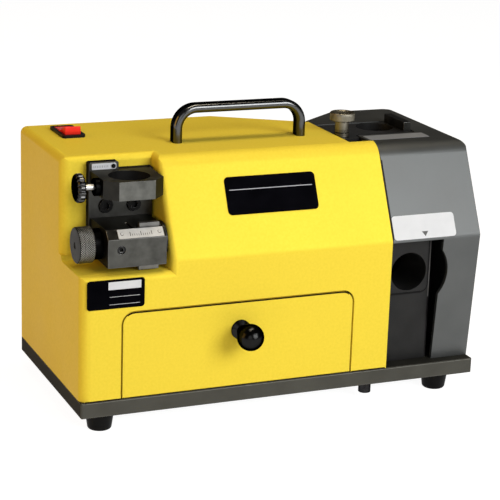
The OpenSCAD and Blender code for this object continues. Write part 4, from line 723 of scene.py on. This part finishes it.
def turnDial(head):
    start = headStart("dial_knob", head)
    width, outer, ease = head["width"], head["radius"], head["ease"]
    outline = head["dimple"] + [(along, outer - inward) for along, inward in head["faceEdge"]]
    outline += rimPoints(ease, width - ease, outer, head["along"])
    outline += [(width, outer - ease), (width, outer - head["backEdge"]), (width, 0)]
    form = turnForm(outline, start, alongX, head["around"])
    pitch = math.tau * outer / head["diamonds"]

    def diamonds(turn, along, radius):
        if abs(radius - outer) > turning["rim"]:
            return 0
        around = turn * head["diamonds"]
        crest = min(abs((around + way * along / pitch) % 1 - 0.5) * 2 for way in (1, -1))
        return head["cut"] * (1 - crest)

    workRim(form, start, alongX, diamonds)

    def isPaintedShade(face):
        middle = face.calc_center_median() - start
        depth = outer - middle.yz.length / mm
        return face.normal.x < -facing["left"] or head["groove"] < depth < head["cut"]

    # painted shade on the dial's left face and in the knurl's grooves
    paintFaces(form, 1, isPaintedShade)
    softenForm(form, head["crease"])
    piece = addPiece("dialHead", form, "knurlSteel", "dial", ("dialShade",))
    shaftOf("dial_knob", "dialScrew", "gaugeOxide", head)


# clamp: a moulded knob with round flutes; rim and back are measured in from the two ends
clampHead = {
    "width": 6,
    "cadWidth": 6,
    "proud": 2,
    "radius": 10.5,
    "face": [(0.5, 0), (0.45, 4), (0.1, 5.2), (0, 6.4), (0.1, 8.2), (0.5, 9.4), (1.1, 10.1)],
    "rim": (1.8, 1.2),
    "back": [(0.5, 10.2), (0.1, 9.5), (0, 8.6), (0, 5), (0, 0)],
    "flutes": 16,
    "fluteDepth": 1.0,
    "fluteFrom": 8,
    "fluteFade": 2,
    "rimTilt": 0.5,
    "around": 256,
    "along": 6,
    "crease": 50,
}


def turnClamp(head):
    start = headStart("clamp_knob", head)
    width, (rimFront, rimBack) = head["width"], head["rim"]
    outline = head["face"] + rimPoints(rimFront, width - rimBack, head["radius"], head["along"])
    outline += [(width - inward, radius) for inward, radius in head["back"]]
    form = turnForm(outline, start, alongX, head["around"])

    def flutes(turn, along, radius):
        if radius < head["fluteFrom"]:
            return 0
        valley = max(0, math.cos(turn * head["flutes"] * math.tau))
        return head["fluteDepth"] * valley * min(1, (radius - head["fluteFrom"]) / head["fluteFade"])

    workRim(form, start, alongX, flutes)
    softenForm(form, head["crease"])
    # painted highlight: the rim's faces get a lighter copy of the knob's black
    paintFaces(form, 1, lambda face: abs(face.normal.x) < head["rimTilt"])
    piece = addPiece("clampKnob", form, "clampBlack", "clamp", ("clampRimHighlight",))
    easeEdges(piece, 0)
    shaftOf("clamp_knob", "clampScrew", "brightSteel", head)


# plunger: a dished head with a fine straight knurl, its neck with a groove, and its locking pin
plungerHead = {
    "radius": 9.75,
    "height": 6.5,
    "pin": 3,
    "neck": 5.5,
    "neckLength": 9.2,
    "chamfer": 0.5,
    "groove": [(1.5, 0), (1.7, 0.35), (2.1, 0.35), (2.3, 0)],
    "flare": 0.6,
    "underEdge": 0.7,
    "rim": (0.6, 0.8),
    "topEdge": [(0.2, 0.45), (0, 0.9)],
    "dish": 7.2,
    "dishEdge": [(0, 0.3), (0.25, 0), (0.9, -0.6)],
    "teeth": 60,
    "cut": 0.24,
    "around": 240,
    "along": 4,
    "crease": 40,
}


def turnPlunger(head):
    low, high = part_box("plunger_knob")
    start = Vector(((low.x + high.x) / 2, (low.y + high.y) / 2, low.z))
    top = (high.z - low.z) / mm
    outer, neck, pin, chamfer, flare = (head[key] for key in ("radius", "neck", "pin", "chamfer", "flare"))
    under = top - head["height"]
    foot = under - head["neckLength"]
    rimLow, rimHigh = head["rim"]
    outline = [(0, 0), (0, pin - chamfer), (chamfer, pin), (foot, pin)]
    outline += [(foot, neck - chamfer), (foot + chamfer, neck)]
    outline += [(foot + along, neck - inward) for along, inward in head["groove"]]
    outline += [(under - flare, neck), (under, neck + flare), (under, outer - head["underEdge"])]
    outline += rimPoints(under + rimLow, top - rimHigh, outer, head["along"])
    outline += [(top - down, outer - inward) for down, inward in head["topEdge"]]
    outline += [(top - down, head["dish"] + outward) for down, outward in head["dishEdge"]]
    outline.append((outline[-1][0], 0))
    form = turnForm(outline, start, alongZ, head["around"])

    def teeth(turn, along, radius):
        if abs(radius - outer) > turning["rim"]:
            return 0
        return head["cut"] * (1 + math.cos(turn * head["teeth"] * math.tau)) / 2

    workRim(form, start, alongZ, teeth)
    softenForm(form, head["crease"])
    piece = addPiece("plungerKnob", form, "warmNickel", "plunger")
    easeEdges(piece, 0)
    standFor("plunger_knob")


turnDial(dialHead)
turnClamp(clampHead)
turnPlunger(plungerHead)
print("dial, clamp knob and plunger turned")

# handle: one section pulled up a leg, round the bend, along the bar and down the other leg
handleBar = {"thick": 7, "wide": 12, "edge": 3.3, "edgeSteps": 8, "bend": 15, "bendSteps": 20, "crease": 40}


def bendHandle(bar):
    low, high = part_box("handle")
    thick, wide, bend = bar["thick"] * mm, bar["wide"] * mm, bar["bend"] * mm
    legTop = high.z - thick / 2 - bend
    reach = high.x - low.x - thick
    middle = Vector((low.x + thick / 2, (low.y + high.y) / 2, low.z))
    form = bmesh.new()
    addRectangle(form, thick, wide)
    roundCorners(form, bar["edge"], bar["edgeSteps"])
    bmesh.ops.translate(form, vec=middle, verts=form.verts)
    bmesh.ops.delete(form, geom=form.faces[:], context="FACES_ONLY")

    def pull(edges, step):
        out = bmesh.ops.extrude_edge_only(form, edges=edges)["geom"]
        bmesh.ops.translate(form, vec=step, verts=vertsOf(out))
        return edgesOf(out)

    def turn(edges, centre):
        ring = list({vert for edge in edges for vert in edge.verts})
        out = bmesh.ops.spin(form, geom=ring + edges, cent=centre, axis=(0, 1, 0), angle=math.pi / 2,
                             steps=bar["bendSteps"])
        return edgesOf(out["geom_last"])

    ring = pull(form.edges[:], (0, 0, legTop - low.z))
    ring = turn(ring, (middle.x + bend, middle.y, legTop))
    ring = pull(ring, (reach - 2 * bend, 0, 0))
    ring = turn(ring, (middle.x + reach - bend, middle.y, legTop))
    pull(ring, (0, 0, low.z - legTop))
    bmesh.ops.remove_doubles(form, verts=form.verts, dist=turning["weld"] * mm)
    closeHoles(form)
    bmesh.ops.recalc_face_normals(form, faces=form.faces)
    softenForm(form, bar["crease"])
    piece = addPiece("carryHandle", form, "handleBlack", "machine")
    easeEdges(piece, 0)
    standFor("handle")


bendHandle(handleBar)
print("handle bent")

# labels and marks, and strips of painted shade and painted highlight: thin plates with rounded corners, let
# a little into the surface that carries them
plateFit = {"sink": 0.03, "cornerSteps": 6}
slantUp = Vector((0, 0.442, 0.897))
slantOut = alongX.cross(slantUp)
slantOffset = 55.69  # mm from the base corner to the slanted plane, along its normal
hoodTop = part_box("hood")[1].z / mm


def onSlant(x, z, rise=0):
    return at(x, (slantOut.z * z - slantOffset) / -slantOut.y, z) + slantOut * rise * mm


def plateForm(look):
    width, height = (value * mm for value in look["size"])
    form = bmesh.new()
    if look.get("pointer"):  # a triangle with its point down
        bmesh.ops.create_circle(form, cap_ends=True, segments=3, radius=0.5)
        bmesh.ops.rotate(form, cent=(0, 0, 0), matrix=Matrix.Rotation(math.pi, 3, "Z"), verts=form.verts)
        bmesh.ops.scale(form, vec=(width, height, 1), verts=form.verts)
    else:
        addRectangle(form, width, height)
    if "corner" in look:
        roundCorners(form, look["corner"], plateFit["cornerSteps"])
    if "border" in look:
        bmesh.ops.inset_region(form, faces=form.faces[:], thickness=look["border"] * mm, use_boundary=True,
                               use_even_offset=True)
        inner = max(form.faces, key=lambda face: len(face.verts))
        bmesh.ops.delete(form, geom=[inner], context="FACES")
    grown = bmesh.ops.extrude_face_region(form, geom=form.faces[:])["geom"]
    bmesh.ops.translate(form, vec=(0, 0, look["thick"] * mm), verts=vertsOf(grown))
    bmesh.ops.recalc_face_normals(form, faces=form.faces)
    return form


def layPlate(name, look):
    form = plateForm(look)
    single = everything(form)
    for step in look.get("steps", ()):
        copy = bmesh.ops.duplicate(form, geom=single)["geom"]
        bmesh.ops.translate(form, vec=(step * mm, 0, 0), verts=vertsOf(copy))
    up = Vector(look.get("up", alongZ))
    outward = alongX.cross(up)
    place = Matrix((alongX, up, outward)).transposed().to_4x4()
    place.translation = look["middle"] - outward * plateFit["sink"] * mm
    form.transform(place)
    if "border" in look:
        for spot, way in ((at(look["keepRight"], 0, 0), -alongX), (at(0, 0, look["keepBelow"]), alongZ)):
            bmesh.ops.bisect_plane(form, geom=everything(form), clear_outer=True, plane_co=spot,
                                   plane_no=way)
            closeHoles(form)
    piece = addPiece(name, form, look["finish"], "machine")


coverFront = 0.5  # y of the cover's front, mm
labelFront = 0.33  # y of the label that lies on it
seatFront = 13.5  # y of the front seat
specColumn = 32.2  # x of the label's field and rules
scaleUp = Vector((0, 1, 1)).normalized()  # the scale plate lies on the block's bevelled edge
scaleSpot = at(45, 4.57, 149.02)
stripSpot = at(27.2, 41.9, 189.4)
labels = {
    "slantBadge": {"middle": onSlant(152.1, 166.5), "up": slantUp, "size": (72.6, 28.6), "corner": 3.4,
                   "thick": 0.5, "finish": "labelBlack", "slot": "cover_yellow"},
    "badgeRule": {"middle": onSlant(152.1, 170.4, rise=0.47), "up": slantUp, "size": (66.4, 0.55),
                  "thick": 0.08, "finish": "ruleSilver", "slot": "cover_yellow"},
    "specLabel": {"middle": at(25.6, coverFront, 106.4), "size": (43.2, 21.8), "corner": 2.4,
                  "thick": 0.2, "finish": "labelBlack", "slot": "cover_yellow"},
    "specField": {"middle": at(specColumn, labelFront, 112.6), "size": (24.6, 5.8), "corner": 0.3,
                  "thick": 0.12, "finish": "labelWhite", "slot": "cover_yellow"},
    "specRuleUpper": {"middle": at(specColumn, labelFront, 104.4), "size": (22.8, 0.28),
                      "thick": 0.08, "finish": "labelWhite", "slot": "cover_yellow"},
    "specRuleLower": {"middle": at(specColumn, labelFront, 98.7), "size": (22.8, 0.28),
                      "thick": 0.08, "finish": "labelWhite", "slot": "cover_yellow"},
    "hoodSticker": {"middle": onSlant(273.2, 135.9), "up": slantUp, "size": (53, 18.7), "corner": 2.6,
                    "thick": 0.2, "finish": "labelWhite", "slot": "hood_grey"},
    "stickerPointer": {"middle": onSlant(273.2, 131.3, rise=0.18), "up": slantUp, "size": (6.4, 5.2),
                       "pointer": True, "thick": 0.06, "finish": "pointerGrey", "slot": "hood_grey"},
    "scaleTicks": {"middle": scaleSpot - scaleUp * 1.2 * mm, "up": scaleUp, "size": (0.35, 1.7),
                   "steps": [1.6 * i for i in range(-5, 6) if i], "thick": 0.05, "finish": "markInkAndShade",
                   "slot": "bright_steel"},
    "scaleLongTicks": {"middle": scaleSpot - scaleUp * 0.4 * mm, "up": scaleUp, "size": (0.5, 3.3),
                       "steps": (-8, 8), "thick": 0.06, "finish": "markInkAndShade", "slot": "bright_steel"},
    "stripTicks": {"middle": stripSpot, "size": (0.25, 1.6), "steps": [1.3 * i for i in range(-4, 5) if i],
                   "thick": 0.05, "finish": "markInkAndShade", "slot": "strip_white"},
    # painted shadow: dark strips along the cover's foot, left and right of the drawer
    "coverShadeLineLeft": {"middle": at(16.6, coverFront, 26.45), "size": (27.2, 0.9), "thick": 0.1,
                 "finish": "gapShade", "slot": "cover_yellow"},
    "coverShadeLineRight": {"middle": at(229.6, coverFront, 26.45), "size": (29, 0.9), "thick": 0.1,
                  "finish": "gapShade", "slot": "cover_yellow"},
    # painted shade: a dark line along the hood's left edge
    "hoodShadeLine": {"middle": onSlant(246.1, 156), "up": slantUp, "size": (0.9, 62), "thick": 0.06,
                 "finish": "boreShade", "slot": "hood_grey"},
    # painted shade: a dark band round the raised face's right and lower edges
    "seatShadeLine": {"middle": at(263.2, seatFront, 105.9), "size": (42.6, 52.4), "corner": 7.4,
                   "border": 2.4, "keepRight": 249.4, "keepBelow": 126.6, "thick": 0.08,
                   "finish": "boreShade", "slot": "black_paint"},
    # painted highlight: a light strip along the seat's right edge
    "seatPaintedHighlight": {"middle": at(284.95, seatFront, 101), "size": (0.7, 50), "thick": 0.08,
                "finish": "seatPaintedHighlight", "slot": "black_paint"},
    "hoodTopStrip": {"middle": at(273.7, 58.7, hoodTop), "up": -frontward, "size": (51.5, 14.5),
                     "corner": 1.5, "thick": 0.2, "finish": "labelGrey", "slot": "hood_grey"},
}
for name, look in labels.items():
    layPlate(name, look)
print("labels laid:", len(labels))
